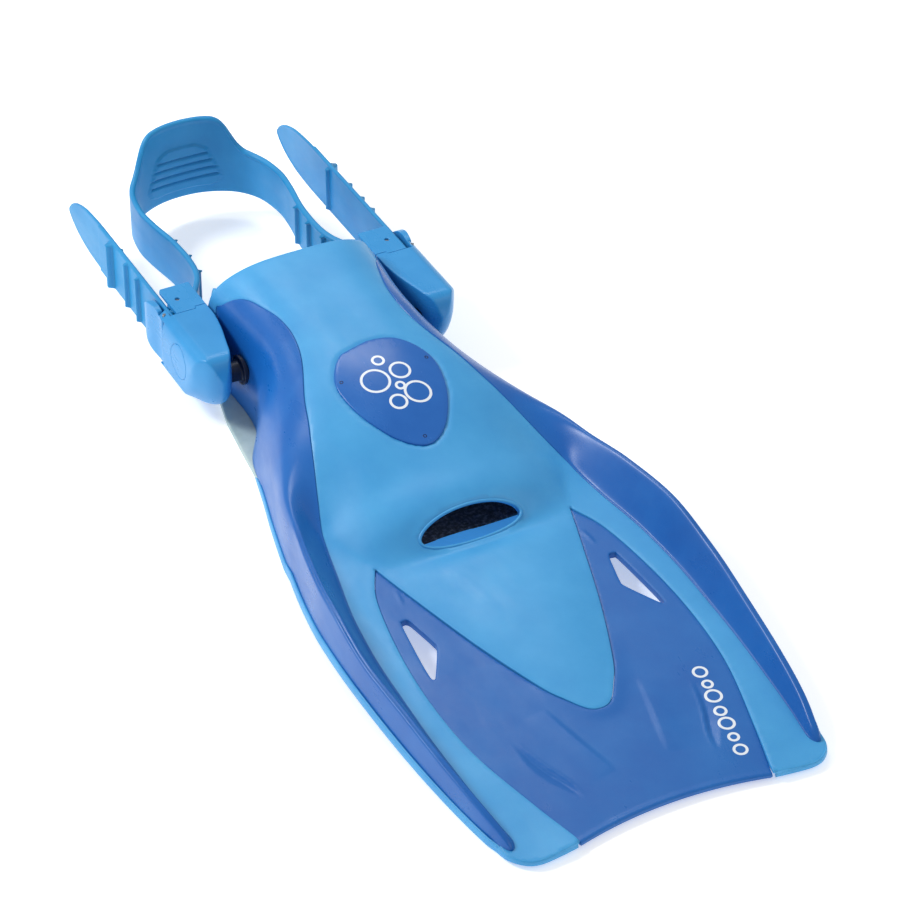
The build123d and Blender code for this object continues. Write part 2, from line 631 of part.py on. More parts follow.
with BuildPart() as buckle_frame:
    for low_z in (BUCKLE_LOW_Z, BUCKLE_HIGH_Z - PLATE_THICK):
        high_z = low_z + PLATE_THICK
        box_between((-FRAME_OUTER_X, FRAME_FRONT_Y, low_z), (-BUCKLE_INNER_X, FRAME_REAR_Y, high_z))
        jog_corner = (-BUCKLE_INNER_X, FRAME_FRONT_Y + SEAM_JOG, high_z)
        box_between((-SEAM_JOG_X, FRAME_FRONT_Y, low_z), jog_corner, Mode.SUBTRACT)
    inner_low_z = BUCKLE_LOW_Z + PLATE_THICK
    inner_high_z = BUCKLE_HIGH_Z - PLATE_THICK
    box_between((-HOOK_OUTER_X, HOOK_FRONT_Y, inner_low_z), (-HOOK_INNER_X, HOOK_REAR_Y, inner_high_z))
    for low_z, high_z in ((0, inner_low_z + PART_GAP), (inner_high_z - PART_GAP, TALL)):
        box_between((-HOOK_OUTER_X, 0, low_z), (-HOOK_INNER_X, FRAME_FRONT_Y, high_z), Mode.SUBTRACT)
    fillet(edges().filter_by(Axis.Z).group_by(Axis.Y)[-1], FRAME_CORNER_R)
    upright(-ROLLER_X, ROLLER_Y, ROLLER_PIN_R, 0, TALL, Mode.SUBTRACT)
finish_pair(buckle_frame, "buckle_frame")

with BuildPart() as roller_pin:
    pin_ends = (BUCKLE_LOW_Z + PIN_SINK, BUCKLE_HIGH_Z - PIN_SINK)
    upright(-ROLLER_X, ROLLER_Y, ROLLER_PIN_R - PRESS_GAP, *pin_ends)
finish_pair(roller_pin, "roller_pin")

with BuildPart() as strap_roller:
    upright(-ROLLER_X, ROLLER_Y, ROLLER_R, STRAP_LOW_Z, STRAP_HIGH_Z)
    upright(-ROLLER_X, ROLLER_Y, ROLLER_PIN_R + RUNNING_GAP, STRAP_LOW_Z, STRAP_HIGH_Z, Mode.SUBTRACT)
finish_pair(strap_roller, "strap_roller")

with BuildPart() as strap_bend:
    upright(-ROLLER_X, ROLLER_Y, STRAP_BEND_R + STRAP_THICK, STRAP_LOW_Z, STRAP_HIGH_Z)
    upright(-ROLLER_X, ROLLER_Y, STRAP_BEND_R, STRAP_LOW_Z, STRAP_HIGH_Z, Mode.SUBTRACT)
    reach = STRAP_BEND_R - PART_GAP
    box_between((-ROLLER_X - reach, 0, 0), (-ROLLER_X + reach, ROLLER_Y, TALL), Mode.INTERSECT)
finish_pair(strap_bend, "strap_bend")

with BuildPart() as lever_pin:
    upright(-LEVER_PIN_X, LEVER_PIN_Y, LEVER_PIN_R - PRESS_GAP, LEVER_PIN_LOW_Z, LEVER_PIN_HIGH_Z)
finish_pair(lever_pin, "lever_pin")

with BuildPart() as ratchet_lever:
    with BuildSketch():
        with BuildLine():
            back = Spline(*flipped(LEVER_BACK))
            Polyline(back @ 1, (-LEVER_INNER_X, LEVER_PIN_Y), back @ 0)
        make_face()
    extrude(amount=TALL)
    with BuildSketch(Plane.YZ.offset(-WIDE)):
        with BuildLine():
            heel = Spline(*LEVER_HEEL)
            Polyline(heel @ 1, (LEVER_PIN_Y, LEVER_KNUCKLE_LOW_Z), (LEVER_PIN_Y, LEVER_KNUCKLE_HIGH_Z),
                     (LEVER_SHELL_Y, LEVER_KNUCKLE_HIGH_Z), heel @ 0)
        make_face()
    extrude(amount=WIDE, mode=Mode.INTERSECT)
    upright(-LEVER_PIN_X, LEVER_PIN_Y, LEVER_KNUCKLE_R, LEVER_KNUCKLE_LOW_Z, LEVER_KNUCKLE_HIGH_Z)
    upright(-LEVER_PIN_X, LEVER_PIN_Y, LEVER_PIN_R + RUNNING_GAP, 0, TALL, Mode.SUBTRACT)
    pawl_low = (-LEVER_INNER_X - PAWL_ROOT, PAWL_Y - PAWL_WIDTH / 2, PAWL_LOW_Z)
    pawl_high = (-LEVER_INNER_X + PAWL_REACH, PAWL_Y + PAWL_WIDTH / 2, PAWL_HIGH_Z)
    box_between(pawl_low, pawl_high)
finish_pair(ratchet_lever, "ratchet_lever")

# ---- Strap -----------------------------------------------------------------------------
with BuildPart() as heel_strap:
    with BuildSketch(Plane.XY.offset(STRAP_LOW_Z)):
        with BuildLine():
            route = LOOP_ROUTE + [(-x, y) for x, y in reversed(LOOP_ROUTE[:-1])]
            Spline(*route)
        trace(line_width=STRAP_THICK)
    extrude(amount=PAD_HIGH_Z - STRAP_LOW_Z)
    with BuildSketch(Plane.XZ.offset(-LOOP_ROUTE[-1][1] - ROLLER_R)):
        with BuildLine():
            shoulder = Spline(*flipped(PAD_RISE), (0, PAD_HIGH_Z + PAD_CROWN), *reversed(PAD_RISE))
            Polyline(shoulder @ 1, (STRAP_REACH, 0), (-STRAP_REACH, 0), shoulder @ 0)
        make_face()
    extrude(amount=FAR_Y, mode=Mode.INTERSECT)
    for x, y in LOOP_RIB_PLACES + flipped(LOOP_RIB_PLACES):
        inner_x = x - math.copysign(STRAP_THICK / 2, x)
        reach = RIB_HEIGHT if x < 0 else -RIB_HEIGHT
        low_x, high_x = sorted((inner_x + reach, x))
        low_z = STRAP_LOW_Z + RIB_INSET
        high_z = SHOULDER_Z - RIB_INSET
        box_between((low_x, y - RIB_WIDTH / 2, low_z), (high_x, y + RIB_WIDTH / 2, high_z))
finish(heel_strap, "heel_strap")


def strap_tail(end_y, shift):
    """A free strap end on the +X side, with its catch ribs and its stop rib."""
    inner_x = ROLLER_X + STRAP_BEND_R
    outer_x = inner_x + STRAP_THICK
    middle_z = (STRAP_LOW_Z + STRAP_HIGH_Z) / 2
    with BuildPart() as tail:
        with BuildSketch(Plane.YZ.offset(inner_x)):
            with BuildLine():
                start_y = end_y - TAIL_TAPER
                back, drop = TAIL_UPPER_TURN
                upper = [(start_y, STRAP_HIGH_Z), (end_y - back, STRAP_HIGH_Z - drop)]
                back, rise = TAIL_LOWER_TURN
                lower = [(end_y - back, STRAP_LOW_Z + rise), (start_y, STRAP_LOW_Z)]
                tip = Spline(*upper, (end_y, middle_z - TAIL_TIP_DROP), *lower, tangents=[(1, 0), (-1, 0)])
                Polyline(tip @ 1, (TAIL_FRONT_Y, STRAP_LOW_Z), (TAIL_FRONT_Y, STRAP_HIGH_Z), tip @ 0)
            make_face()
        extrude(amount=STRAP_THICK)
        low_z = STRAP_LOW_Z + RIB_INSET
        high_z = STRAP_HIGH_Z - RIB_INSET
        ribs = [(rib_y, RIB_WIDTH, RIB_HEIGHT) for rib_y in LEFT_TAIL_RIBS_Y]
        ribs.append((LEFT_STOP_RIB_Y, STOP_RIB_WIDTH, STOP_RIB_HEIGHT))
        for rib_y, width, height in ribs:
            rear_y = rib_y + shift + width / 2
            box_between((outer_x, rear_y - width, low_z), (outer_x + height, rear_y, high_z))
    return tail


right_tail = strap_tail(RIGHT_TAIL_END_Y, TAIL_SHIFT)
finish(right_tail, "right_strap_tail")

left_twin = strap_tail(LEFT_TAIL_END_Y, 0.0)
with BuildPart() as left_tail:
    mirror(left_twin.part, about=Plane.YZ)
finish(left_tail, "left_strap_tail")
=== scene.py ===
import json
import math

import bmesh
import bpy
import mathutils
import numpy as np
from mathutils import Matrix, Vector


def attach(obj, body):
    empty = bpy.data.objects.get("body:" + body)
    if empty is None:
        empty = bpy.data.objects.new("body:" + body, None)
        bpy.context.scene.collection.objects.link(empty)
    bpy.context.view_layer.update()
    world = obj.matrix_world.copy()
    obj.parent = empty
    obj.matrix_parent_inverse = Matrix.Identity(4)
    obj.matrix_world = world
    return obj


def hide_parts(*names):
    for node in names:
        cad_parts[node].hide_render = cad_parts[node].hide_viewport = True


MM = 0.001
ORIGIN_Y = 107.5      # the drawing's own y, in millimetres, is the frame's y plus this

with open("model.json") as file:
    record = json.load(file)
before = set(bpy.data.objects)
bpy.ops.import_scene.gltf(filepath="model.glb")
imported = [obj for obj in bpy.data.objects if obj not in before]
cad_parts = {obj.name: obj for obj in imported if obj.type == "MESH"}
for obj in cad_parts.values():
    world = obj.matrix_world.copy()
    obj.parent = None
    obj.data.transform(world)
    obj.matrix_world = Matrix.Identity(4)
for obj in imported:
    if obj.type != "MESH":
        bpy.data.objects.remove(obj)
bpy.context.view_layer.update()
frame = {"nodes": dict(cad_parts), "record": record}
nodes = frame["nodes"]
scene = bpy.context.scene


# ---- Materials ----
def srgb(r, g, b):
    """Linear colour from screen values between 0 and 1."""
    return tuple(((c + 0.055) / 1.055) ** 2.4 if c > 0.04045 else c / 12.92 for c in (r, g, b)) + (1.0,)


class Shade:
    """A small builder for node materials."""

    def __init__(self, name):
        self.mat = bpy.data.materials.new(name)
        self.mat.use_nodes = True
        self.tree = self.mat.node_tree
        self.shader = self.tree.nodes["Principled BSDF"]
        self.place = self.node("ShaderNodeTexCoord").outputs["Object"]

    def node(self, kind, **settings):
        made = self.tree.nodes.new(kind)
        for key, value in settings.items():
            setattr(made, key, value)
        return made

    def link(self, a, b):
        self.tree.links.new(a, b)

    def noise(self, scale, detail=3.0, roughness=0.5, stretch=(1, 1, 1)):
        mapping = self.node("ShaderNodeMapping")
        mapping.inputs["Scale"].default_value = stretch
        self.link(self.place, mapping.inputs["Vector"])
        tex = self.node("ShaderNodeTexNoise")
        for key, value in (("Scale", scale), ("Detail", detail), ("Roughness", roughness)):
            tex.inputs[key].default_value = value
        self.link(mapping.outputs[0], tex.inputs["Vector"])
        return tex.outputs["Fac"]

    def ramp(self, fac, stops):
        made = self.node("ShaderNodeValToRGB")
        ramp = made.color_ramp
        while len(ramp.elements) < len(stops):
            ramp.elements.new(0.5)
        for element, (place, colour) in zip(ramp.elements, stops):
            element.position = place
            element.color = colour
        self.link(fac, made.inputs["Fac"])
        return made.outputs["Color"]

    def spread(self, fac, low, high, out_low, out_high):
        made = self.node("ShaderNodeMapRange")
        for key, value in zip(("From Min", "From Max", "To Min", "To Max"), (low, high, out_low, out_high)):
            made.inputs[key].default_value = value
        self.link(fac, made.inputs["Value"])
        return made.outputs["Result"]

    def bump(self, fac, strength, distance, below=None):
        made = self.node("ShaderNodeBump")
        made.inputs["Strength"].default_value = strength
        made.inputs["Distance"].default_value = distance
        self.link(fac, made.inputs["Height"])
        if below is not None:
            self.link(below, made.inputs["Normal"])
        return made.outputs["Normal"]

    def feed(self, values, sockets):
        """Link or set each socket."""
        for value, socket in zip(values, sockets):
            if isinstance(value, (int, float, tuple)):
                socket.default_value = value
            else:
                self.link(value, socket)

    def mix(self, fac, a, b):
        made = self.node("ShaderNodeMix", data_type="RGBA")
        self.feed((fac, a, b), (made.inputs[0], made.inputs[6], made.inputs[7]))
        return made.outputs[2]

    def maths(self, kind, operation, *values):
        made = self.node(kind, operation=operation)
        self.feed(values, made.inputs)
        return made.outputs["Value" if operation == "DISTANCE" else 0]

    def set(self, **values):
        for key, value in values.items():
            self.shader.inputs[key.replace("_", " ")].default_value = value


PRINT = srgb(0.93, 0.95, 0.97)
RING_WIDTH = 1.5


def ring_mask(shade, rings):
    """A mask of plain rings in plan: (x, y, radius) in millimetres of the frame."""
    flat = shade.maths("ShaderNodeVectorMath", "MULTIPLY", shade.place, (1.0, 1.0, 0.0))
    total = None
    for x, y, radius in rings:
        away = shade.maths("ShaderNodeVectorMath", "DISTANCE", flat, (x * MM, y * MM, 0.0))
        band = shade.maths("ShaderNodeMath", "COMPARE", away, radius * MM, RING_WIDTH * MM * 0.5)
        total = band if total is None else shade.maths("ShaderNodeMath", "MAXIMUM", total, band)
    return total


def moulded(name, base, light, dark, rough, grain, subsurface=0.0, mottle=26.0, metal=0.0, rings=()):
    """Moulded rubber or plastic: soft cloudy colour, a fine grain, uneven gloss and perhaps white rings
    printed on it. base, light and dark are screen values."""
    m = Shade(name)
    base, light, dark = srgb(*base), srgb(*light), srgb(*dark)
    cloud = m.noise(mottle, 4.0, 0.6)
    colour = m.ramp(cloud, [(0.25, dark), (0.5, base), (0.8, light)])
    fine = m.noise(900.0, 2.0)
    colour = m.mix(m.spread(fine, 0.3, 0.7, 0.0, 0.10), colour, light)
    if rings:
        colour = m.mix(ring_mask(m, rings), colour, PRINT)
    m.link(colour, m.shader.inputs["Base Color"])
    smear = m.noise(70.0, 5.0, 0.65, (1, 0.35, 1))
    m.link(m.spread(smear, 0.3, 0.7, rough[0], rough[1]), m.shader.inputs["Roughness"])
    wave = m.bump(m.noise(35.0, 2.0), 0.12, 0.0006)
    m.link(m.bump(m.noise(1400.0, 3.0), grain, 0.00012, wave), m.shader.inputs["Normal"])
    m.set(Specular_IOR_Level=0.38, Metallic=metal, Subsurface_Weight=subsurface, Subsurface_Scale=0.004)
    m.shader.inputs["Subsurface Radius"].default_value = (0.3, 0.7, 1.0)
    return m.mat


light_rubber = moulded("light_blue_rubber", (0.27, 0.63, 0.86), (0.31, 0.67, 0.89), (0.24, 0.60, 0.84),
                       rough=(0.30, 0.46), grain=0.12, subsurface=0.10)
dark_plastic = moulded("dark_blue_plastic", (0.09, 0.39, 0.71), (0.13, 0.43, 0.74), (0.07, 0.36, 0.68),
                       rough=(0.24, 0.38), grain=0.22)
buckle_plastic = moulded("buckle_blue_plastic", (0.20, 0.58, 0.83), (0.25, 0.62, 0.86),
                         (0.17, 0.55, 0.80), rough=(0.24, 0.36), grain=0.08)
strap_rubber = moulded("strap_blue_rubber", (0.14, 0.56, 0.79), (0.19, 0.60, 0.83), (0.11, 0.52, 0.76),
                       rough=(0.36, 0.50), grain=0.15, subsurface=0.06)
sole_rubber = moulded("sole_grey_rubber", (0.70, 0.78, 0.78), (0.80, 0.86, 0.85), (0.58, 0.68, 0.69),
                      rough=(0.45, 0.6), grain=0.3)
# The footbed's near-black colour is partly its own and partly painted shade: it darkens the inside of the
# foot pocket seen through the toe opening.
footbed_rubber_and_painted_shade = moulded("footbed_black_rubber", (0.26, 0.28, 0.30), (0.58, 0.60, 0.62),
                         (0.02, 0.03, 0.04), rough=(0.6, 0.8), grain=0.9, mottle=420.0)
# The toe's floor glows faintly: painted light, so that it looks lit inside the toe opening, where the pocket
# shades it.
toe_rubber_painted_light = moulded("toe_floor_rubber_painted_light", (0.27, 0.60, 0.86), (0.31, 0.64, 0.89), (0.24, 0.57, 0.84),
                     rough=(0.40, 0.55), grain=0.12)
toe_painted_light = toe_rubber_painted_light.node_tree.nodes["Principled BSDF"].inputs
toe_painted_light["Emission Color"].default_value = srgb(0.25, 0.58, 0.86)
toe_painted_light["Emission Strength"].default_value = 0.6
stud_plastic = moulded("badge_stud_plastic", (0.05, 0.12, 0.30), (0.09, 0.17, 0.37), (0.03, 0.09, 0.25),
                       rough=(0.2, 0.3), grain=0.05)
# The swivel post's near-black blue is painted shade: it darkens the narrow gap between the buckle arm and the
# pocket, where the post shows.
post_painted_shade_plastic = moulded("swivel_post_painted_shade_plastic", (0.05, 0.11, 0.22), (0.09, 0.16, 0.28), (0.03, 0.08, 0.17),
                       rough=(0.4, 0.5), grain=0.1)
steel = moulded("stainless_pin_steel", (0.62, 0.64, 0.66), (0.72, 0.74, 0.76), (0.50, 0.52, 0.55),
                rough=(0.22, 0.34), grain=0.05, metal=1.0)
# Printed rings as (x, y, radius) in millimetres: the badge's from its middle, the panel's in the drawing.
BADGE_MIDDLE = (0.0, 0.5)       # in the frame, in millimetres
BADGE_RINGS = [(-9.0, 8.5, 8.0), (7.5, 11.0, 5.6), (10.0, -6.5, 7.2), (-3.5, -9.5, 4.6), (-0.8, 22.0, 3.2),
               (2.6, 0.6, 2.4)]
PANEL_RINGS = [(60.2, -128.4, 3.6), (59.2, -138.0, 2.6), (57.6, -147.0, 4.2), (55.2, -158.2, 3.0),
               (53.6, -167.4, 4.0), (51.8, -177.6, 2.6), (50.4, -187.0, 3.4)]
badge_plastic = moulded("badge_blue_plastic", (0.13, 0.40, 0.72), (0.18, 0.45, 0.76), (0.10, 0.37, 0.69),
                        rough=(0.20, 0.30), grain=0.1,
                        rings=[(BADGE_MIDDLE[0] + x, BADGE_MIDDLE[1] + y, r) for x, y, r in BADGE_RINGS])
panel_plastic = moulded("dark_blue_panel_plastic", (0.10, 0.40, 0.71), (0.14, 0.44, 0.74), (0.08, 0.37, 0.69),
                        rough=(0.26, 0.40), grain=0.22,
                        rings=[(x, y - ORIGIN_Y, r) for x, y, r in PANEL_RINGS])
MATERIALS = {
    "light_blue_rubber": light_rubber, "dark_blue_plastic": dark_plastic,
    "buckle_blue_plastic": buckle_plastic, "strap_blue_rubber": strap_rubber,
    "sole_grey_rubber": sole_rubber, "badge_blue_plastic": badge_plastic,
    "badge_pin_plastic": stud_plastic, "footbed_black_rubber": footbed_rubber_and_painted_shade, "steel_pin": steel,
}
SLOTS = {material.name: slot for slot, material in MATERIALS.items()}
for entry in frame["record"]["subparts"]:
    node = nodes[entry["node"]]
    node.data.materials.clear()
    node.data.materials.append(MATERIALS[entry["material_slot"]])


# ---- The fin's outer surface ----
def along(rows, y):
    """Values of a table of (y, value) rows at the places y, without overshoot."""
    xs, vs = np.array(sorted(rows)).T
    step = np.diff(xs)
    slope = np.diff(vs) / step
    tangent = np.zeros(len(xs))
    tangent[0], tangent[-1] = slope[0], slope[-1]
    for i in range(1, len(xs) - 1):
        if slope[i - 1] * slope[i] > 0:
            a = 2 * step[i] + step[i - 1]
            b = step[i] + 2 * step[i - 1]
            tangent[i] = (a + b) / (a / slope[i - 1] + b / slope[i])
    y = np.clip(np.asarray(y, float), xs[0], xs[-1])
    i = np.clip(np.searchsorted(xs, y) - 1, 0, len(xs) - 2)
    t = (y - xs[i]) / step[i]
    return ((2 * t**3 - 3 * t**2 + 1) * vs[i] + (t**3 - 2 * t**2 + t) * step[i] * tangent[i]
            + (3 * t**2 - 2 * t**3) * vs[i + 1] + (t**3 - t**2) * step[i] * tangent[i + 1])


Y_LOW, Y_HIGH = -213, 262       # the blade's tip and the back of the foot pocket
TIP_Z, SHEET_RISE = 4.3, 0.071  # the blade's sheet at the tip, and how it climbs towards the foot


def web(y):
    """Height of the blade's sheet."""
    return TIP_Z + SHEET_RISE * (np.asarray(y, float) - Y_LOW)


def curve(points, per_span=16):
    """A smooth line through points of any dimension."""
    p = np.array(points, float)
    p = np.vstack([2 * p[0] - p[1], p, 2 * p[-1] - p[-2]])
    t = np.linspace(0, 1, per_span, endpoint=False)[:, None]
    spans = []
    for a, b, c, d in zip(p, p[1:], p[2:], p[3:]):
        spans.append(0.5 * (2 * b + (c - a) * t + (2 * a - 5 * b + 4 * c - d) * t**2
                            + (3 * b - a - 3 * c + d) * t**3))
    return np.vstack(spans + [p[-2:-1]])


def run_along(p):
    """Distance along a line at each of its points."""
    return np.concatenate([[0], np.cumsum(np.linalg.norm(np.diff(p, axis=0), axis=1))])


def spaced(points, count):
    """The same line with evenly spaced points."""
    p = np.asarray(points, float)
    run = run_along(p)
    at = np.linspace(0, run[-1], count)
    return np.column_stack([np.interp(at, run, p[:, k]) for k in range(p.shape[1])])


# Cross-sections of the foot pocket: y, then crown, shoulder, wall and foot as (x, z), then the top.
POCKET = [
    (262, (32, 76), (50, 58), (53.2, 30), (53.8, 4), 80),
    (236, (31, 76), (49, 61), (52.5, 30), (53.5, 4), 79),
    (205, (27, 74.5), (45.5, 61), (51.5, 32), (52.5, 4), 76.5),
    (182, (25, 73), (44, 62), (51.8, 33), (54, 4), 74.5),
    (155, (25, 69.5), (46, 60), (60.5, 34), (69, 4), 71),
    (125, (27, 64.5), (50, 57), (69.5, 36), (76, 4), 66),
    (95, (31, 56.5), (59, 48), (79.5, 37), (84, 4), 59),
    (70, (36, 47), (68, 36), (87.5, 38), (90, 4), 50.5),
    (50, (42, 39), (75, 26.5), (91.5, 38), (94.5, 4), 45)]
POCKET_END = 50
SPAN = 40                       # points in each stretch of a pocket section
# Side rails: y, inner foot x, crest x and z, outer foot x and z.
RAIL = [
    (50, 75, 91.5, 38, 94.5, 4), (20, 80.5, 98.5, 39, 100.5, 4.5), (-20, 88, 104.5, 38.5, 106.5, 7.5),
    (-60, 91, 106, 32, 108.3, 8.5), (-105, 91.3, 103, 26.5, 105.5, 4.5), (-145, 90, 99.6, 21, 101.5, 1.8),
    (-178, 88, 95.3, 15.5, 97, 0.5), (-197, 86, 91.5, 9.5, 94, 0.5), (-213, 86, 90, 5.5, 92, 0.5)]
# Where the dark sides begin on the pocket, as (y, x).
SIDE_EDGE = [(262, 51.6), (240, 51.6), (236, 51.0), (228, 47), (219, 41.5), (203, 37), (191, 34), (177, 33),
             (162, 34.5), (145, 40), (127, 48), (108, 54), (89, 61), (66, 69), (53, 74), (50, 75)]
# The ridge down the blade: its top as (y, z), then its foot as (y, x) and (y, z).
CENTRE = [(50, 45), (42, 43.7), (34, 42), (31, 40.8), (28, 38.8), (24, 34.6), (20, 30.2), (16, 25.8),
          (12.5, 22.6), (9, 21.6), (4, 22.6), (-3, 23.6), (-14, 23.2), (-40, 22.0), (-83, 17.6), (-105, 14.6),
          (-118, 12.6), (-130, 10.8), (-140, 9.5)]
FLANK = [(50, 75), (34, 67), (15, 60), (-10, 53), (-60, 38), (-102, 22.5), (-118, 13.7), (-140, 6)]
FLANK_Z = [(50, 26.5), (34, 24.4), (20, 22.2), (15, 21.6), (0, 20.4), (-60, 16.2), (-130, 10.8), (-140, 9.5)]
# Height of the floor between the ridge's foot and the rails, near the toe opening.
TOE_BASE = [(15, 20.9), (34, 23.2), (50, 26.5)]
ROWS = np.arange(Y_LOW, Y_HIGH + 1.0)
N_CENTRE, N_SLOPE, N_WALL = 120, 48, 36     # points across the light top, the dark slope and the wall
PROUD = 0.4                     # the light rubber lies this much above the blade's sheet


def pocket_section(i):
    """The light top, the dark upper side and the wall of a row across the foot pocket."""
    crown, shoulder, wall, foot = ([along([(s[0], s[part][k]) for s in POCKET], ROWS[i]) for k in (0, 1)]
                                   for part in range(1, 5))
    top = float(along([(s[0], s[5]) for s in POCKET], ROWS[i]))
    line = curve([(-crown[0], crown[1]), (0, top), crown, shoulder, wall, foot], SPAN)[SPAN:]
    edge = float(along(SIDE_EDGE, ROWS[i]))
    crest = 3 * SPAN
    cut = int(np.argmax(line[:, 0] >= edge)) if line[:crest, 0].max() > edge else crest - SPAN // 5
    return line[:cut + 1], line[cut:crest + 1], line[crest:]


def blade_section(i):
    """The blade up to the rail, the rail's slope and its wall, for a row across the blade."""
    y = ROWS[i]
    inner, crest_x, crest_z, outer, low = (float(along([(r[0], r[k]) for r in RAIL], y)) for k in range(1, 6))
    half = float(along(FLANK, y))
    high, edge = float(along(CENTRE, y)), float(along(FLANK_Z, y))
    base = float(web(y)) + PROUD if y < TOE_BASE[0][0] else float(along(TOE_BASE, y))
    x = np.linspace(0, inner, 90)
    q = x / half
    hump = edge + (high - edge) * (1 - np.minimum(q, 1) ** 2.2)
    flat = edge + (base - edge) * np.clip((x - half) / max(inner - half, 1), 0, 1)
    centre = np.column_stack([x, np.where(q < 1, hump, flat)])
    lip = max(min(3.2, (crest_x - inner) / 2), 0.5)
    slope = curve([(inner, base), (inner + 0.16 * (crest_x - inner), base + 0.10 * (crest_z - base)),
                   (crest_x - lip, crest_z - 0.7), (crest_x - 0.35 * lip, crest_z - 0.05),
                   (crest_x, crest_z)])
    wall = curve([(crest_x, crest_z), (crest_x + 0.5, crest_z - 1.4),
                  ((crest_x + outer) / 2 + 0.3, (crest_z + low) / 2), (outer, low)])
    return centre, slope, wall


def smooth_rows(table, sigma):
    """Blur a table of sections along the fin."""
    reach = int(3 * sigma)
    kernel = np.exp(-0.5 * (np.arange(-reach, reach + 1) / sigma) ** 2)
    kernel /= kernel.sum()
    padded = np.concatenate([np.repeat(table[:1], reach, 0), table, np.repeat(table[-1:], reach, 0)])
    return sum(k * padded[i:i + len(table)] for i, k in enumerate(kernel))


TOE_Y, TOE_REACH = 20, 24       # rows near the toe opening are blurred less
sections = [pocket_section(i) if ROWS[i] >= POCKET_END else blade_section(i) for i in range(len(ROWS))]
TABLE = np.stack([np.vstack([spaced(a, N_CENTRE), spaced(b, N_SLOPE)[1:], spaced(c, N_WALL)[1:]])
                  for a, b, c in sections])
SOFT = smooth_rows(TABLE, 5.0)
NEAR_TOE = np.clip(1 - np.abs(ROWS - TOE_Y) / TOE_REACH, 0, 1)[:, None, None]
TABLE = SOFT * (1 - NEAR_TOE) + smooth_rows(TABLE, 1.8) * NEAR_TOE
RUN = np.concatenate([np.zeros((len(ROWS), 1)),
                      np.cumsum(np.linalg.norm(np.diff(TABLE, axis=1), axis=2), axis=1)], axis=1)
SIDE, FOOT = N_CENTRE - 1, TABLE.shape[1] - 1       # columns: where the dark sides begin, and the wall's foot


def across(column, y):
    """Distance from the centre line, along the surface, of a column of the table."""
    return np.interp(y, ROWS, RUN[:, column])


def lateral(x, y):
    """Distance along the surface of the point at x on the upper side."""
    i = int(round(float(np.clip(y, Y_LOW, Y_HIGH)) - Y_LOW))
    row = TABLE[i, :SIDE + N_SLOPE, 0]
    return math.copysign(float(np.interp(abs(x), row, RUN[i, :len(row)])), x)


def surface_point(a, y):
    """Points of the outer surface from (a, y)."""
    a, y = np.atleast_1d(a).astype(float), np.clip(np.atleast_1d(y).astype(float), Y_LOW, Y_HIGH)
    low = np.clip(np.floor(y - Y_LOW).astype(int), 0, len(ROWS) - 2)
    part = (y - Y_LOW - low)[:, None]
    found = np.zeros((2, len(a), 2))
    for k in (0, 1):
        for i in np.unique(low):
            pick = low == i
            for c in (0, 1):
                found[k, pick, c] = np.interp(np.abs(a[pick]), RUN[i + k], TABLE[i + k, :, c])
    flat = found[0] * (1 - part) + found[1] * part
    return np.column_stack([np.sign(a) * flat[:, 0], y, flat[:, 1]])


def surface(a, y):
    """Points and outward normals of the outer surface."""
    a, y = np.asarray(a, float), np.asarray(y, float)
    d = 0.6                     # half the step that the slopes are taken over
    du = surface_point(a + d, y) - surface_point(a - d, y)
    centre = np.abs(a) < d
    du[centre] = (1, 0, 0)
    dv = surface_point(a, y + d) - surface_point(a, y - d)
    normal = np.cross(du, dv)
    normal /= np.maximum(np.linalg.norm(normal, axis=1), 1e-9)[:, None]
    return surface_point(a, y), normal


# ---- Meshes ----
WELD = 0.00002                  # points closer than this, in metres, become one


def make(name, points, faces, material, body="fin", stands_for=(), slot=None):
    """An object from points in the drawing's millimetres. The slot argument is not used."""
    slot = slot or SLOTS[material.name]
    mesh = bpy.data.meshes.new(name)
    place = [(x * MM, (y - ORIGIN_Y) * MM, z * MM) for x, y, z in points]
    mesh.from_pydata(place, [], faces)
    mesh.validate()
    work = bmesh.new()
    work.from_mesh(mesh)
    bmesh.ops.remove_doubles(work, verts=work.verts, dist=WELD)
    bmesh.ops.recalc_face_normals(work, faces=work.faces)
    work.to_mesh(mesh)
    work.free()
    mesh.polygons.foreach_set("use_smooth", [True] * len(mesh.polygons))
    mesh.materials.append(material)
    made = bpy.data.objects.new(name, mesh)
    scene.collection.objects.link(made)
    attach(made, body)
    if stands_for:
        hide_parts(*stands_for)


def inside(loop, p):
    """Which points lie in a closed loop."""
    x, y = p[:, 0:1], p[:, 1:2]
    a, b = loop, np.roll(loop, -1, axis=0)
    crossing = (a[:, 1] > y) != (b[:, 1] > y)
    with np.errstate(divide="ignore", invalid="ignore"):
        at = (b[:, 0] - a[:, 0]) * (y - a[:, 1]) / (b[:, 1] - a[:, 1]) + a[:, 0]
    return (np.logical_and(crossing, x < at).sum(axis=1) % 2) == 1


BATCH = 2000                    # points measured at a time, to save memory


def gap_to(loops, p):
    """Distance from each point to the nearest edge of the loops."""
    best = np.full(len(p), 1e9)
    for loop in loops:
        a, b = loop, np.roll(loop, -1, axis=0)
        d = b - a
        size = np.maximum((d**2).sum(1), 1e-12)
        for k in range(0, len(p), BATCH):
            q = p[k:k + BATCH, None, :]
            t = np.clip(((q - a) * d).sum(2) / size, 0, 1)
            away = np.linalg.norm(q - (a + t[..., None] * d), axis=2).min(1)
            best[k:k + BATCH] = np.minimum(best[k:k + BATCH], away)
    return best


def even_loop(points, spacing):
    """A closed loop with evenly spaced points."""
    p = np.vstack([points, points[:1]])
    length = np.linalg.norm(np.diff(p, axis=0), axis=1).sum()
    return spaced(p, max(12, int(length / spacing)) + 1)[:-1]


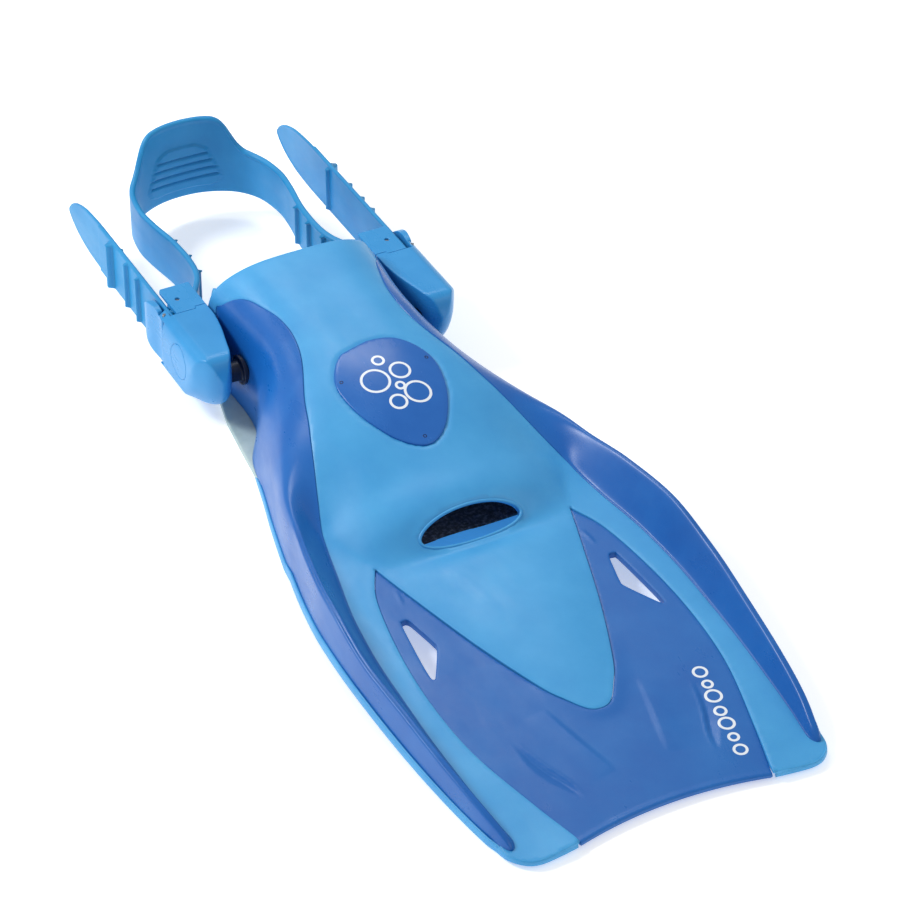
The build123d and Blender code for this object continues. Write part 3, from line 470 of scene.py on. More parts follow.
def plate(name, outer, holes, place, thick, material, edge=0.8, spacing=2.2, lift=None, **about):
    """A sheet of rubber or plastic with rounded edges. outer and holes are loops in the surface's own plane,
    place(u, v) gives points and normals, lift(u, v, gap) raises the upper face, and thick is a number or a
    function."""
    loops = [even_loop(np.asarray(loop, float), spacing * 0.8) for loop in [outer, *holes]]
    rim = np.vstack(loops)
    extra = []
    for depth in (0.12, 0.4, 1.0):
        for loop in loops:
            along_loop = np.roll(loop, -1, axis=0) - np.roll(loop, 1, axis=0)
            along_loop /= np.maximum(np.linalg.norm(along_loop, axis=1), 1e-9)[:, None]
            side = np.column_stack([-along_loop[:, 1], along_loop[:, 0]])
            for way in (1, -1):
                moved = loop + way * side * edge * depth
                extra.append(moved[gap_to(loops, moved) > edge * depth * 0.93])
    low, high = rim.min(0), rim.max(0)
    tall = spacing * 0.866      # rows of nearly equal-sided triangles
    grid = []
    for k, v in enumerate(np.arange(low[1], high[1], tall)):
        u = np.arange(low[0] + (k % 2) * spacing / 2, high[0], spacing)
        grid.append(np.column_stack([u, np.full(len(u), v)]))
    grid = np.vstack(grid)
    grid = grid[gap_to(loops, grid) > edge + 0.45 * spacing]
    points = np.vstack([rim, *extra, grid])
    keep = inside(loops[0], points)
    for hole in loops[1:]:
        keep &= ~inside(hole, points)
    keep[:len(rim)] = True
    points = [Vector(p) for p in points[keep].tolist()]
    edges, start = [], 0
    for loop in loops:
        n = len(loop)
        edges += [(start + i, start + (i + 1) % n) for i in range(n)]
        start += n
    flat, _, faces, *_ = mathutils.geometry.delaunay_2d_cdt(points, edges, [], 0, 1e-6)
    flat = np.array([(v.x, v.y) for v in flat])
    faces = np.array([f for f in faces if len(f) == 3])
    middle = flat[faces].mean(axis=1)
    keep = inside(loops[0], middle)
    for hole in loops[1:]:
        keep &= ~inside(hole, middle)
    faces = faces[keep]
    gap = gap_to(loops, flat)
    near = np.clip(gap, 0, edge)
    drop = edge - np.sqrt(np.maximum(edge**2 - (edge - near) ** 2, 0))
    where, normal = place(flat[:, 0], flat[:, 1])
    rise = lift(flat[:, 0], flat[:, 1], gap) if lift else 0.0
    depth = thick(flat[:, 0], flat[:, 1]) if callable(thick) else thick
    upper = where + normal * (rise - drop)[:, None]
    lower = where - normal * (depth - drop)[:, None]
    n = len(flat)
    every = [tuple(f) for f in faces.tolist()] + [(c + n, b + n, a + n) for a, b, c in faces.tolist()]
    sides = {}
    for f in faces.tolist():
        for a, b in ((f[0], f[1]), (f[1], f[2]), (f[2], f[0])):
            if (b, a) in sides:
                del sides[(b, a)]
            else:
                sides[(a, b)] = True
    every += [(b, a, a + n, b + n) for a, b in sides]
    make(name, np.vstack([upper, lower]), every, material, **about)


def grid_faces(rows, columns, wrap=False):
    """Quads of a grid of points laid out row by row."""
    faces = []
    for i in range(rows - 1):
        for j in range(columns if wrap else columns - 1):
            k = (j + 1) % columns
            faces.append((i * columns + j, i * columns + k, (i + 1) * columns + k, (i + 1) * columns + j))
    return faces


def tube(rows):
    """Points and faces of a skin through closed rings of points, with both ends capped."""
    rows = np.array(rows)
    total, count = rows.shape[:2]
    faces = grid_faces(total, count, wrap=True)
    faces += [tuple(range(count)), tuple(range(total * count - 1, (total - 1) * count - 1, -1))]
    return rows.reshape(-1, 3), faces


def both(half):
    """A half outline and its mirror image as one loop, without repeating points on the centre line."""
    half = [tuple(p) for p in half]
    return np.array(half + [(-x, y) for x, y in half[::-1] if x != 0])


# ---- The fin ----
PANEL_EDGE = [(60, 15), (70, -8), (77, -50), (79, -90), (76, -130), (66, -173), (56, -210)]
TONGUE_EDGE = [(60, 15), (53, -10), (38, -60), (22.5, -102), (14, -117.5), (6.8, -127.5), (0, -130),
               (-6.8, -127.5)]
TONGUE = curve(TONGUE_EDGE, 8)[:-8]     # without the last stretch, which only gives the tip its direction


def to_surface(points):
    """A plan outline in (x, y), laid out on the surface as (a, y)."""
    return [(lateral(x, y), y) for x, y in points]


def rim_y(z):
    """Where the foot opening's rim lies at a height."""
    return float(np.interp(z, (4, 38, 57, 79), (254, 253, 247.5, 236)))


def rim_line(columns):
    """The rim of the foot opening, from the centre line to the foot, as (a, y)."""
    line = []
    for column in columns:
        y = 245.0
        for _ in range(12):     # more than enough rounds for y to settle
            y = rim_y(float(np.interp(y, ROWS, TABLE[:, column, 1])))
        line.append((float(across(column, y)), y))
    return line


# The light rubber's outline: rim, side, rail, tip corner and tail, then the dark panel's edge and the tongue.
side_edge = [(float(across(SIDE, y)), y) for y in np.arange(240, 49.9, -4.0)]
rail_edge = [(float(across(SIDE, y)) + 0.6, y) for y in np.arange(46, -188, -5.0)]
rim_half = rim_line(list(range(0, FOOT, 6)) + [FOOT])
corner_half = [(float(across(FOOT, 241)), 241.0), (float(across(N_CENTRE + 40, 240)), 239.8)]
tip_half = to_surface([(88, -189)]) + [(92.9, -191), (93.9, -194), (93.9, -198), (92.9, -203), (89.5, -208),
                                       (84.5, -211.4), (78.5, -212.4)]
tail_half = to_surface([(70, -212), (56.6, -210.2)])
panel_half = to_surface([(x + 0.12, y) for x, y in curve(PANEL_EDGE, 8)[::-1]])
light_outline = both(rim_half + corner_half + side_edge + rail_edge + tip_half + tail_half + panel_half[1:-1]
                     + to_surface(TONGUE))

TOE_HOLE = [(31.0 * math.cos(t), 18.4 + 7.6 * math.sin(t))
            for t in np.linspace(0, 2 * math.pi, 72, endpoint=False)]
toe_hole = np.array(to_surface(TOE_HOLE))
BADGE = curve([(-16, 144), (0, 147), (16, 144), (27, 133), (31, 119), (27, 98), (15, 77), (0, 68), (-15, 77),
               (-27, 98), (-31, 119), (-27, 133), (-16, 144), (0, 147)], 8)[8:-8]
badge_loop = np.array(to_surface(BADGE))[:-1]


def ridge(distance, centre, width):
    """A rounded ridge of height 1."""
    return np.exp(-((distance - centre) / width) ** 2)


def light_lift(u, v, gap):
    """Fine relief of the light rubber: the toe opening's rim, a swell before it and the badge's bed."""
    at = np.column_stack([u, v])
    to_hole = gap_to([toe_hole], at)
    to_badge = gap_to([badge_loop], at)
    within = inside(badge_loop, at)
    rise = 0.9 * ridge(to_hole, 1.3, 1.5)
    rise += np.where(within, -0.9, -0.9 * ridge(to_badge, 0.0, 0.8))
    front = ridge(v, -2.0, 9.0) * ridge(u, 2.0, 24.0)
    return rise + 0.8 * front


def light_thick(u, v):
    """Thickness of the light rubber: thick over the foot, thin on the blade."""
    return np.interp(v, (-213, -204, -180, -120, 0, 20, 60, 255), (2.0, 2.5, 4.1, 4.2, 4.4, 4.6, 4.8, 5.2))


FLAT_FROM, FLAT_FADE = -180, 8      # the rails are left out from here to the tip, fading in over this length


def flat_corner(a, y):
    """The outer surface, but with the rails left out at the blade's tip corners."""
    where, normal = surface(a, y)
    a, y = np.asarray(a, float), np.asarray(y, float)
    rows = np.clip(y, Y_LOW, Y_HIGH)
    foot_a = np.interp(rows, ROWS, RUN[:, SIDE])
    foot_x = np.interp(rows, ROWS, TABLE[:, SIDE, 0])
    part = np.where(np.abs(a) > foot_a, np.clip((FLAT_FROM - y) / FLAT_FADE, 0, 1), 0.0)
    level = np.column_stack([np.sign(a) * (foot_x + np.abs(a) - foot_a), y, web(y) + PROUD])
    part = part[:, None]
    normal = normal * (1 - part) + np.array([0.0, 0.0, 1.0]) * part
    normal /= np.maximum(np.linalg.norm(normal, axis=1), 1e-9)[:, None]
    return where * (1 - part) + level * part, normal


plate("foot_pocket_and_bands", light_outline, [toe_hole], flat_corner, light_thick, light_rubber, edge=0.5,
      spacing=2.3, lift=light_lift, stands_for=("foot_pocket", "left_flex_band", "right_flex_band"))


def hole_bead():
    """The raised lip round the toe opening: a thin round bead, a little proud of the surface."""
    bead, lifted = 0.95, 0.35
    loop = even_loop(toe_hole, 0.9)
    where, normal = surface(loop[:, 0], loop[:, 1])
    way = np.roll(where, -1, axis=0) - np.roll(where, 1, axis=0)
    way /= np.linalg.norm(way, axis=1)[:, None]
    side = np.cross(normal, way)
    rows = [where + lifted * normal + bead * (side * math.cos(t) + normal * math.sin(t))
            for t in np.linspace(0, 2 * math.pi, 14, endpoint=False)]
    rows = np.array(rows + rows[:1])
    make("toe_opening_lip", rows.reshape(-1, 3), grid_faces(len(rows), len(loop), wrap=True), light_rubber)


hole_bead()


# The dark panel of the blade, with its two vents and its folds.
def plan(u, v, height):
    """Points straight above the plan, with upright normals."""
    return np.column_stack([u, v, height]), np.tile((0.0, 0.0, 1.0), (len(u), 1))


def on_web(u, v):
    return plan(u, v, web(v))


def beside(path, u, v):
    """Signed distance from a line, positive on its left, and how far along it, from 0 to 1."""
    path = np.asarray(path, float)
    best, off, t = np.full(len(u), 1e9), np.zeros(len(u)), np.zeros(len(u))
    steps = np.linalg.norm(np.diff(path, axis=0), axis=1)
    run = np.concatenate([[0], np.cumsum(steps)])
    for k, (a, b) in enumerate(zip(path, path[1:])):
        d = (b - a) / steps[k]
        at = np.clip((u - a[0]) * d[0] + (v - a[1]) * d[1], 0, steps[k])
        gap = np.hypot(u - a[0] - at * d[0], v - a[1] - at * d[1])
        closer = gap < best
        side = np.sign((v - a[1]) * d[0] - (u - a[0]) * d[1])
        best = np.where(closer, gap, best)
        off = np.where(closer, gap * side, off)
        t = np.where(closer, (run[k] + at) / run[-1], t)
    return off, np.clip(t, 0, 1)


SCOOP = curve([(53.4, -129.8), (48.2, -150.8), (41.2, -169.7), (38.6, -183.0)], 8)
FACET = curve([(27.3, -118.0), (22.6, -140.0), (15.0, -172.0)], 8)
VENT_CREASE = curve([(57.2, -3.4), (57.9, -9.0), (58.9, -16.5)], 6)


def trailing_y(x):
    """Where the dark panel ends at the blade's tip."""
    return -210 + 7 * (1 - (x / 56.0) ** 2)


def panel_lift(u, v, gap):
    """Relief of the dark blade panel: two scoops, two broad facets, a swell round the tongue, a crease above
    each vent and a lip along the trailing edge."""
    x = np.abs(u)
    off, t = beside(SCOOP, x, v)
    deep = np.sin(math.pi * t**1.25) ** 0.9
    reach = 1.0 + 6.5 * deep
    scoop = -1.9 * deep * np.clip(off / 1.9, 0, 1) * np.clip(1 - off / reach, 0, 1) ** 1.4
    rise = np.where((off > 0) & (t > 0) & (t < 1), scoop, 0.0)
    rise += 0.35 * deep * np.exp(-(off / 1.1) ** 2)
    off, t = beside(FACET, x, v)
    fade = np.sin(math.pi * t) ** 0.7
    rise += 0.55 * fade * np.clip(off / 1.6 + 0.3, 0, 1) * np.exp(-(off / 13.0) ** 2)
    tongue = gap_to([TONGUE_LOOP], np.column_stack([u, v]))
    rise += 0.5 * np.exp(-(tongue / 6.0) ** 2) * np.clip((-v - 80) / 40, 0, 1)
    off, t = beside(VENT_CREASE, x, v)
    rise += 0.5 * np.sin(math.pi * t) * np.exp(-(off / 0.8) ** 2)
    return rise + 0.45 * ridge(v - trailing_y(u), 1.6, 1.2)


TONGUE_LOOP = both(TONGUE)
# The dark panel's outline: right side, trailing edge and left side, then back just outside the tongue.
trailing = [(x, trailing_y(x)) for x in np.linspace(52, 0, 14)]
tongue_side = [(x + 0.08 * (x > 3), y - 0.1) for x, y in TONGUE]
right_half = [tuple(p) for p in curve(PANEL_EDGE, 10)] + trailing[:-1]
panel_outline = right_half + trailing[-1:] + [(-x, y) for x, y in right_half[::-1]][:-1]
left_top = [(-x, y) for x, y in tongue_side]
panel_outline += left_top[:-1] + tongue_side[::-1][:-1]
vent = even_loop(np.array(curve([(64.6, -27.0), (62.4, -26.6), (60.8, -28.8), (58.8, -37.5), (56.7, -48.1),
                                 (57.2, -53.2), (67.4, -71.6), (69.2, -73.6), (70.3, -71.6), (69.4, -58.0),
                                 (66.1, -29.6), (64.6, -27.0)], 6)[:-1]), 1.2)
plate("vee_panel", np.array(panel_outline), [vent, vent * (-1, 1)], on_web,
      lambda u, v: np.interp(v, (-210, -200, -176), (2.0, 2.6, 4.2)), panel_plastic, edge=0.4, spacing=1.35,
      lift=panel_lift, stands_for=("blade_panel",), slot="dark_blue_plastic")


# The dark sides: foot-pocket panels and rails in one moulding each.
SHELL_REAR, SHELL_TIP = 240, -200       # the ends of the dark sides
REAR_ROUND, TIP_ROUND = 4.0, 8.2        # lengths over which their ends are rounded off
TIP_FROM = -192                         # where the tip's rounding begins


def row_across(y, columns):
    """Points and normals of the outer surface at y, in some of the table's columns."""
    a = np.array([np.interp(y, ROWS, RUN[:, c]) for c in columns])
    return surface(a, np.full(len(a), y))


def side_shell(sign, side):
    """A skin a little proud of the surface, tucked in along its upper edge and rounded off at both ends."""
    proud, depth, tucked = 0.35, 2.2, 1.2
    rings = []
    for y in np.concatenate([np.arange(SHELL_REAR, 190, -1.0), np.arange(190, -190, -1.5),
                             np.arange(-190, SHELL_TIP - 0.1, -0.5)]):
        points, normals = row_across(y, range(SIDE, FOOT + 1))
        outer = points + normals * proud
        tuck = points[0] - normals[0] * tucked
        shrink = 1.0
        if y < TIP_FROM:
            shrink = math.sqrt(max(1 - ((TIP_FROM - y) / TIP_ROUND) ** 2, 0.0))
        if y > SHELL_REAR - REAR_ROUND:
            outer = outer - normals * (0.8 * ((y - SHELL_REAR + REAR_ROUND) / REAR_ROUND) ** 2)
        inner = points - normals * depth
        ring = np.vstack([tuck[None, :], outer, inner[::-1]])
        lowest = np.interp(y, (-196, -186, -176), (web(y) - 0.8, web(y) - 1.2, -1.0))
        ring[:, 2] = np.maximum(ring[:, 2], lowest)
        centre = ring.mean(axis=0)
        centre[2] = web(y) + 0.2 if y < -190 else centre[2]
        rings.append(centre + (ring - centre) * (shrink, 1, shrink))
    points, faces = tube(rings)
    make(f"{side}_side_shell", points * (sign, 1, 1), faces, dark_plastic,
         stands_for=(f"{side}_side_panel", f"{side}_side_rail"))


def rail_edging(sign, side):
    """The light rubber edging along the foot of the rail and round the tip corner, with a rounded section."""
    section = [(-0.6, 5.2), (0.5, 6.4), (1.35, 5.6), (1.75, 3.4), (1.8, 1.2), (1.3, 0.1), (0.2, -0.1),
               (-0.8, 0.4)]
    section = spaced(curve(section + section[:1], 4), 25)[:-1]
    path = [tuple(surface_point(across(FOOT, y), y)[0]) for y in np.arange(150, -188, -3.0)]
    corner = curve([(93.6, -193), (93.2, -197), (92.2, -201.5), (89.4, -206.5), (84.4, -210.4), (78, -211.6),
                    (68, -210.7), (58, -209.2)])
    path += [(x, y, float(np.interp(y, (-206, -194), (2.2, 0.4)))) for x, y in spaced(corner, 34)]
    path = np.array(path)
    way = np.gradient(path[:, :2], axis=0)
    way /= np.linalg.norm(way, axis=1)[:, None]
    rings = []
    for (x, y, z), (wx, wy) in zip(path, way):
        size = float(np.interp(y, (-206, -190, 30, 130, 150), (0.72, 0.85, 1.0, 0.8, 0.25)))
        tall = size if y > -190 else float(np.interp(y, (-206, -192), (0.52, 0.85)))
        sink = float(np.interp(y, (45, 60), (0.0, 3.9)))
        rings.append([(x - wy * dx * size, y + wx * dx * size, max(z - sink + dz * tall, 0.1))
                      for dx, dz in section])
    points, faces = tube(rings)
    make(f"{side}_edging", points * (sign, 1, 1), faces, light_rubber, stands_for=(f"{side}_rail_trim",))


for sign, side in ((-1, "left"), (1, "right")):
    side_shell(sign, side)
    rail_edging(sign, side)


# Inside and under the foot pocket: the lining behind the dark panels, the sole, the toe's floor and wall, and
# the footbed.
def lining():
    """A skin 2 mm deep, just inside the dark side shells."""
    rings = []
    for y in np.arange(252, 54, -3.0):
        p, n = row_across(y, range(SIDE - 11, FOOT + 1, 3))
        rings.append(np.vstack([p - n * 2.6, (p - n * 4.6)[::-1]]))
    points, faces = tube(rings)
    for sign, side in ((-1, "left"), (1, "right")):
        make(f"{side}_lining", points * (sign, 1, 1), faces, light_rubber)


lining()
sole_half = [(0, 264.6), (30, 264.6), (44, 264.0), (51, 259), (56, 250), (60, 223), (66, 198), (70, 168),
             (72, 150), (75.5, 125), (83.5, 95), (89, 70), (92.5, 50)]
plate("sole_rubber", both(sole_half), [], lambda u, v: plan(u, v, np.full(len(u), 4.0)), 4.0, sole_rubber,
      edge=1.0, spacing=5.0, stands_for=("sole_plate",))


def toe_floor(u, v):
    """The floor under the toe opening, which climbs towards the blade."""
    rise = np.clip((38 - v) / 28.0, 0, 1)
    return plan(u, v, 7.4 + 11.0 * rise**1.3)


floor_loop = np.array([(-58, 39), (58, 39), (48, 20), (30, 11), (-30, 11), (-48, 20)])
# The toe's floor has a glowing material: painted light inside the toe opening.
plate("toe_floor", floor_loop, [], toe_floor, 2.0, toe_rubber_painted_light, edge=0.6, spacing=3.0,
      slot="light_blue_rubber")
# The wall round the toes: a thin band up from the sole, its outer face a little wider than its inner one.
toe_wall = curve([(59, 53), (59, 44), (56, 34), (46, 20), (29, 11), (0, 8.5), (-29, 11), (-46, 20), (-56, 34),
                  (-59, 44), (-59, 53)], 6)
wall_foot = np.full(len(toe_wall), 5.0)
wall_top = np.interp(toe_wall[:, 1], (8, 20, 40, 53), (17.5, 19.5, 23.0, 26.0))
wall_rows = np.array([np.column_stack([toe_wall[:, 0] * wider, toe_wall[:, 1], z]) for wider, z in (
    (1.0, wall_foot), (1.0, wall_top), (1.04, wall_top), (1.04, wall_foot), (1.0, wall_foot))])
make("toe_wall", wall_rows.reshape(-1, 3), grid_faces(len(wall_rows), len(toe_wall)), light_rubber)


def footbed(u, v):
    """The footbed's upper side, dished across and raised at the toes."""
    return plan(u, v, 6.4 + 0.0011 * u**2 + 0.9 * np.clip((60 - v) / 22, 0, 1))


bed_half = [(0, 253), (30, 252.6), (42, 250), (45, 236), (45, 150), (46, 110), (49, 80), (56, 58), (60, 38),
            (0, 37)]
# Its near-black material is partly painted shade of the pocket's inside.
plate("insole", both(bed_half), [], footbed, 2.3, footbed_rubber_and_painted_shade, edge=0.7, spacing=3.5,
      stands_for=("footbed",))


# The badge and its studs.
def badge_lift(u, v, gap):
    """Slightly domed."""
    return 0.55 + 0.3 * np.clip(gap / 20, 0, 1)


plate("badge_plate", even_loop(badge_loop, 1.5) * (0.985, 1), [], surface, 1.5, badge_plastic, edge=0.6,
      spacing=1.6, lift=badge_lift, stands_for=("instep_badge",))


def turned(name, profile, centre, axis, material, count=40, **about):
    """A turned piece: (radius, height) pairs round an axis."""
    axis = axis / np.linalg.norm(axis)
    side = np.cross(axis, (0, 0, 1) if abs(axis[2]) < 0.9 else (1, 0, 0))
    side /= np.linalg.norm(side)
    other = np.cross(axis, side)
    rings = []
    for radius, height in profile:
        rings.append([centre + axis * height + radius * (side * math.cos(t) + other * math.sin(t))
                      for t in np.linspace(0, 2 * math.pi, count, endpoint=False)])
    make(name, *tube(rings), material, **about)


STUD = [(0.3, -0.5), (1.15, -0.5), (1.2, 0.5), (1.1, 0.72), (0.9, 0.78), (0.5, 0.55), (0.1, 0.5)]
for k, (x, y) in enumerate(((-26.5, 124), (26.5, 124), (0, 73.5))):
    where, normal = surface([lateral(x, y)], [y])
    turned(f"badge_stud_{k}", STUD, where[0], normal[0], stud_plastic,
           stands_for=("badge_pins",) if k == 0 else ())


# ---- The strap ----
STRAP_LOW, STRAP_HIGH = 15.6, 49.4


def ribbon(name, route, stations, low, high, inner_relief, outer_relief, body, stands_for, thick=2.8):
    """A strap on edge: it follows route in plan, and low and high give its edges at a distance along it.
    The relief functions raise its two faces. Inner is to the left of the route."""
    path = spaced(route, 1200)
    run = run_along(path)
    tangent = np.gradient(path, axis=0)
    tangent /= np.linalg.norm(tangent, axis=1)[:, None]
    x, y, tx, ty = (np.interp(stations, run, v) for v in (*path.T, *tangent.T))
    face = np.concatenate([[0, 0.012, 0.03, 0.06], np.linspace(0.08, 0.92, 92), [0.94, 0.97, 0.988, 1]])
    rings = []
    for s, px, py, dx, dy in zip(stations, x, y, tx, ty):
        bottom, top = low(s, px, py), high(s, px, py)
        half = thick / 2 * min(1.0, (top - bottom) / 3.0)
        z = bottom + face * (top - bottom)
        edge = np.minimum(z - bottom, top - z)
        taper = np.sqrt(np.clip(1 - (1 - np.clip(edge / half, 0, 1)) ** 2, 0, 1)) * 0.62 + 0.38
        flank = np.array([-dy, dx])
        side_in = half * taper + inner_relief(np.full(len(z), s), z, bottom, top)
        side_out = half * taper + outer_relief(np.full(len(z), s), z, bottom, top)
        inner = np.column_stack([px + flank[0] * side_in, py + flank[1] * side_in, z])
        outer = np.column_stack([px - flank[0] * side_out, py - flank[1] * side_out, z])
        rings.append(np.vstack([inner, outer[::-1]]))
    make(name, *tube(rings), strap_rubber, body, stands_for)


def plain(s, z, bottom, top):
    """A face without relief."""
    return np.zeros(len(z))


def bar(s, centre, width, height):
    """A rib across the strap, with steep rounded flanks."""
    return height * np.clip(1.6 - np.abs(s - centre) * 2.9 / width, 0, 1) ** 0.5


LOOP = [(60, 260), (53, 269), (45, 283), (42, 299), (42.5, 322), (46, 346), (47, 364), (43, 384), (33, 398),
        (17, 406.5), (0, 409)]
loop_route = curve(LOOP + [(-x, y) for x, y in LOOP[-2::-1]], 30)
loop_run = run_along(loop_route)
loop_length = loop_run[-1]
LOOP_RIBS = [loop_run[int(np.argmin(np.hypot(loop_route[:, 0] - x, loop_route[:, 1] - y)))]
             for x, y in ((43.4, 290), (42, 307), (42.8, 325), (-43.4, 290), (-42, 307), (-42.8, 325))]


def loop_high(s, x, y):
    """The loop's upper edge, which rises at the heel pad."""
    if y < 378:
        return 46.5
    return float(along([(0, 71), (12, 70.8), (20, 70.2), (24, 68.4), (27.5, 64.5), (31, 57.5), (34, 51.5),
                        (38, 47.6), (44, 46.5), (60, 46.5)], abs(x)))


def loop_inner(s, z, bottom, top):
    """The heel pad's grip patch with its grooves, a bead along the upper edge, and the catch ribs."""
    off = s - loop_length / 2
    wide = np.interp(z, (21.5, 23.5, 28, 40, 49, 52.5), (17, 24, 26.5, 21.5, 17, 9))
    edge = np.minimum(wide - np.abs(off), np.minimum(z - 21.5, 52.5 - z))
    rise = 1.1 * np.clip(edge / 0.8, 0, 1)
    for centre in (28.0, 33.4, 38.8, 44.2):
        level = centre + 0.004 * off**2
        rise -= np.where(edge > 1.2, 1.8 * np.exp(-((z - level) / 0.6) ** 2), 0)
    rise += 0.8 * np.clip((z - top + 3.2) / 0.7, 0, 1) * np.clip((top - z) / 0.7, 0, 1)
    for centre in LOOP_RIBS:
        rise += np.where((z > bottom + 2) & (z < top - 2), bar(s, centre, 2.6, 2.5), 0)
    return rise


def fine_stations(length, step, centres, reach=3.0, fine=0.3):
    """Stations along a strap, closer together round its ribs."""
    found = list(np.linspace(0, length, int(length / step) + 1))
    for centre in centres:
        found = [s for s in found if abs(s - centre) > reach]
        found += list(np.arange(centre - reach, centre + reach + 0.01, fine))
    return np.array(sorted(s for s in found if 0 <= s <= length))


def strap_low(s, x, y):
    """The strap's straight lower edge."""
    return STRAP_LOW


def strap_high(s, x, y):
    """The upper edge where it is straight."""
    return STRAP_HIGH


ribbon("heel_loop_strap", loop_route, fine_stations(loop_length, 1.3, LOOP_RIBS), strap_low, loop_high,
       loop_inner, plain, "heel_loop", ("heel_strap",))


TAIL_X = 75.9


def tail(sign, side, end_y, ribs, step_y, inner_rib):
    """A free end of the strap, with its catch ribs, its stop rib and its thinner tip. ribs gives each outer
    rib's y, width and height."""
    start = 233.0
    length = end_y - start
    # The edges as (distance from the end, z), turned into (distance from the start, z).
    upper = [(length - d, z) for d, z in ((length, STRAP_HIGH), (55, STRAP_HIGH), (30, 47.6), (14, 43.2),
                                          (5, 38), (1.2, 34), (0, 32.2))]
    lower = [(length - d, z) for d, z in ((length, STRAP_LOW), (55, STRAP_LOW), (32, 16.8), (15, 20.6),
                                          (5, 25.6), (1.2, 29), (0, 30.8))]
    centres = [y - start for y, _, _ in ribs]

    def outward(s, z, bottom, top):
        rise = np.where(s > step_y - start, -0.8, 0.0)
        between = (z > STRAP_LOW + 1.6) & (z < STRAP_HIGH - 1.6)
        for y, width, height in ribs:
            rise += np.where(between, bar(s, y - start, width, height), 0)
        return rise

    def inward(s, z, bottom, top):
        near_end = np.clip((length - s - 1.0) / 1.0, 0, 1)
        lip = -0.3 * np.clip((np.minimum(z - bottom, top - z) - 1.6) / 0.5, 0, 1)
        found = np.where((z > STRAP_LOW + 1.5) & (z < STRAP_HIGH - 3), bar(s, inner_rib - start, 3.2, 2.2), 0)
        return found + lip * near_end

    stations = fine_stations(length, 2.2, centres + [step_y - start, inner_rib - start])
    stations = np.unique(np.concatenate([stations, np.linspace(length - 6, length, 14)]))
    x = sign * TAIL_X
    route = [(x, start), (x, (start + end_y) / 2), (x, end_y)]
    faces = (inward, outward) if sign > 0 else (outward, inward)
    ribbon(f"{side}_free_end", route, stations, lambda s, px, py: float(along(lower, s)),
           lambda s, px, py: float(along(upper, s)), *faces, f"{side}_tail", (f"{side}_strap_tail",))


tail(-1, "left", 405.0, [(294, 2.6, 2.6), (311, 2.6, 2.6), (335, 4.8, 3.8)], 355.0, 328.0)
tail(1, "right", 428.0, [(298, 2.6, 2.6), (312, 2.6, 2.6), (329, 2.6, 2.6), (353, 4.8, 3.8)], 375.0, 352.0)

# The strap's turns round the rollers, whose axes stand at (68, 257.6).
TURN_R, TURN_FROM = 7.9, 0.6
for sign, side in ((-1, "left"), (1, "right")):
    turn = [(sign * (68 + TURN_R * math.cos(t)), 257.6 - TURN_R * math.sin(t))
            for t in np.linspace(TURN_FROM, math.pi - TURN_FROM, 30)]
    turn_length = TURN_R * (math.pi - 2 * TURN_FROM)
    ribbon(f"{side}_strap_turn", turn, np.linspace(0, turn_length, 24), strap_low, strap_high, plain, plain,
           f"{side}_buckle", (f"{side}_strap_bend",), thick=2.4)


# ---- The buckles ----
BUTTON = (221.0, 36.0, 11.4)     # y, z and radius of the button's bed
FLANK_X = 76.0                   # the outer flank, where the bed is, lies beyond this x
NOSE_Y, NOSE_FADE = 234, 10.0    # in front of this y the nose is rounded, more and more over this length


def softened(name, node, voxel, rounds, material, body, nose=0):
    """A moulded copy of a CAD node with its edges rounded. nose says how much further its nose is rounded,
    all but the button's bed."""
    made = bpy.data.objects.new(name, nodes[node].data.copy())
    scene.collection.objects.link(made)

    def smoothed(times, group=""):
        """Smooth, and make the modifiers' result the mesh."""
        smooth = made.modifiers.new("smooth", "SMOOTH")
        smooth.factor, smooth.iterations, smooth.vertex_group = 0.5, times, group
        graph = bpy.context.evaluated_depsgraph_get()
        mesh = bpy.data.meshes.new_from_object(made.evaluated_get(graph))
        made.modifiers.clear()
        made.data = mesh

    remesh = made.modifiers.new("remesh", "REMESH")
    remesh.mode = "VOXEL"
    remesh.voxel_size = voxel * MM
    remesh.use_smooth_shade = True
    smoothed(rounds)
    if nose:
        group = made.vertex_groups.new(name="nose")
        for vertex in made.data.vertices:
            y, z = vertex.co.y / MM + ORIGIN_Y, vertex.co.z / MM
            clear = math.hypot(y - BUTTON[0], z - BUTTON[1]) - BUTTON[2]
            front = min(max((NOSE_Y - y) / NOSE_FADE, 0.0), 1.0)
            bed = 1.0 if abs(vertex.co.x) < FLANK_X * MM else min(max(clear / 2.0, 0.0), 1.0)
            if front * bed > 0.02:
                group.add([vertex.index], front * bed, "REPLACE")
        smoothed(nose, "nose")
    made.data.materials.clear()
    made.data.materials.append(material)
    made.data.polygons.foreach_set("use_smooth", [True] * len(made.data.polygons))
    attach(made, body)
    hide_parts(node)


for side in ("left", "right"):
    for part, voxel, rounds, shade, body, nose in (
            ("buckle_arm", 0.4, 3, buckle_plastic, f"{side}_buckle", 28),
            ("buckle_frame", 0.35, 3, buckle_plastic, f"{side}_buckle", 0),
            ("release_button", 0.22, 4, buckle_plastic, f"{side}_button", 0),
            ("ratchet_lever", 0.25, 4, buckle_plastic, f"{side}_lever", 0),
            ("strap_roller", 0.5, 2, buckle_plastic, f"{side}_roller", 0),
            ("swivel_post", 0.4, 3, post_painted_shade_plastic, "fin", 0)):
        softened(f"{side}_{part}_moulded", f"{side}_{part}", voxel, rounds, shade, body, nose)


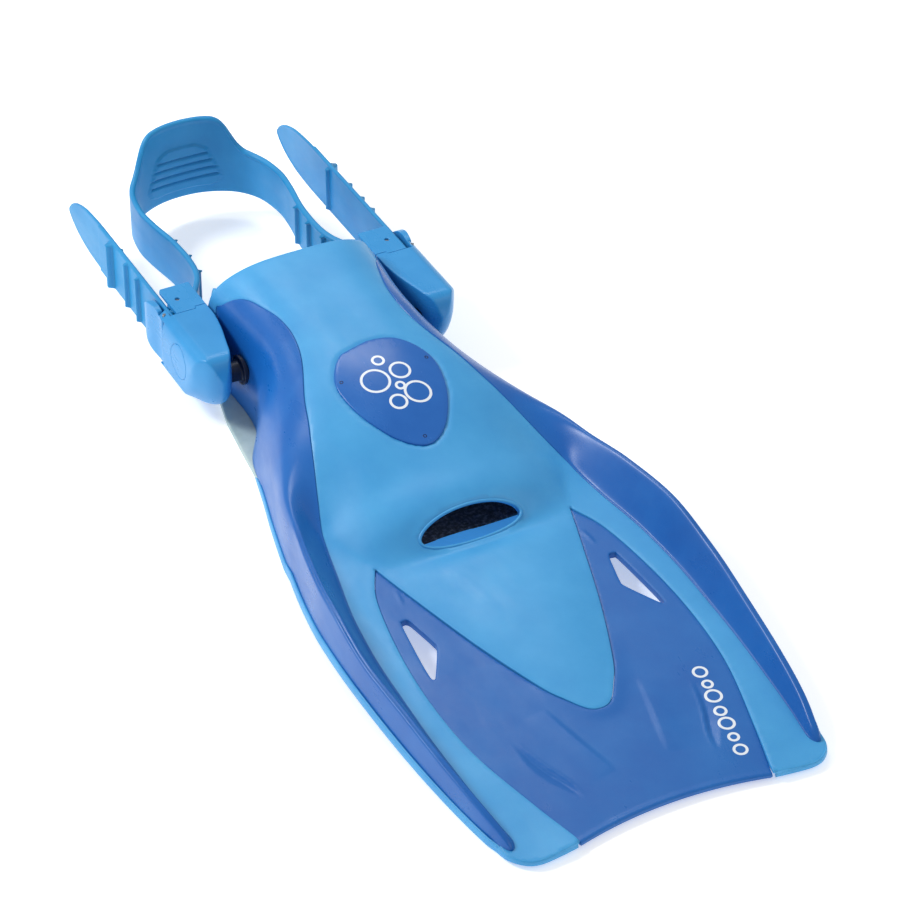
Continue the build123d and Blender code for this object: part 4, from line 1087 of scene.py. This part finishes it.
# ---- Floor, light and camera ----
scene.view_settings.view_transform = "Standard"
mesh = bpy.data.meshes.new("floor")
far = 6.0                       # half the floor's width, in metres
mesh.from_pydata([(-far, -far, 0), (far, -far, 0), (far, far, 0), (-far, far, 0)], [], [(0, 1, 2, 3)])
floor = bpy.data.objects.new("floor", mesh)
scene.collection.objects.link(floor)
paper = Shade("pale_floor")
paper.link(paper.ramp(paper.noise(3.0), [(0.3, srgb(0.955, 0.957, 0.96)), (0.7, srgb(0.975, 0.975, 0.975))]),
           paper.shader.inputs["Base Color"])
paper.set(Roughness=0.9, Emission_Strength=0.42)
paper.shader.inputs["Emission Color"].default_value = (1.0, 1.0, 1.0, 1.0)
mesh.materials.append(paper.mat)

world = bpy.data.worlds.new("studio")
scene.world = world
world.use_nodes = True
sky = world.node_tree.nodes["Background"].inputs
sky["Color"].default_value = (0.97, 0.985, 1.0, 1.0)
sky["Strength"].default_value = 0.50


def softbox(name, place, target, size, power):
    """A white area light at place, in metres, turned towards target."""
    light = bpy.data.lights.new(name, "AREA")
    light.shape = "RECTANGLE"
    light.size, light.size_y = size
    light.energy = power
    lamp = bpy.data.objects.new(name, light)
    scene.collection.objects.link(lamp)
    lamp.location = place
    lamp.rotation_euler = (Vector(target) - Vector(place)).to_track_quat("-Z", "Y").to_euler()


softbox("key", (-1.1, 0.75, 1.35), (0, 0.05, 0.02), (0.45, 0.45), 19.0)
softbox("top", (0.3, 1.1, 1.5), (0, 0, 0.02), (0.9, 0.3), 6.0)
softbox("fill", (1.2, -1.2, 1.3), (0, 0, 0.02), (1.0, 1.0), 4.0)

camera_data = bpy.data.cameras.new("camera")
camera_data.sensor_width = 36.0
camera_data.lens = 149.04
camera_data.clip_end = 50.0
camera = bpy.data.objects.new("camera", camera_data)
scene.collection.objects.link(camera)
AZIMUTH = math.radians(-27.2)
ELEVATION = math.radians(37.0)
back = Vector((math.sin(AZIMUTH) * math.cos(ELEVATION), -math.cos(AZIMUTH) * math.cos(ELEVATION),
               math.sin(ELEVATION)))
right = Vector((math.cos(AZIMUTH), math.sin(AZIMUTH), 0))
up = back.cross(right)
facing = Matrix((right, up, back)).transposed().to_4x4()
camera.matrix_world = Matrix.Translation((-0.74243, -1.50913, 1.28672)) @ facing
scene.camera = camera
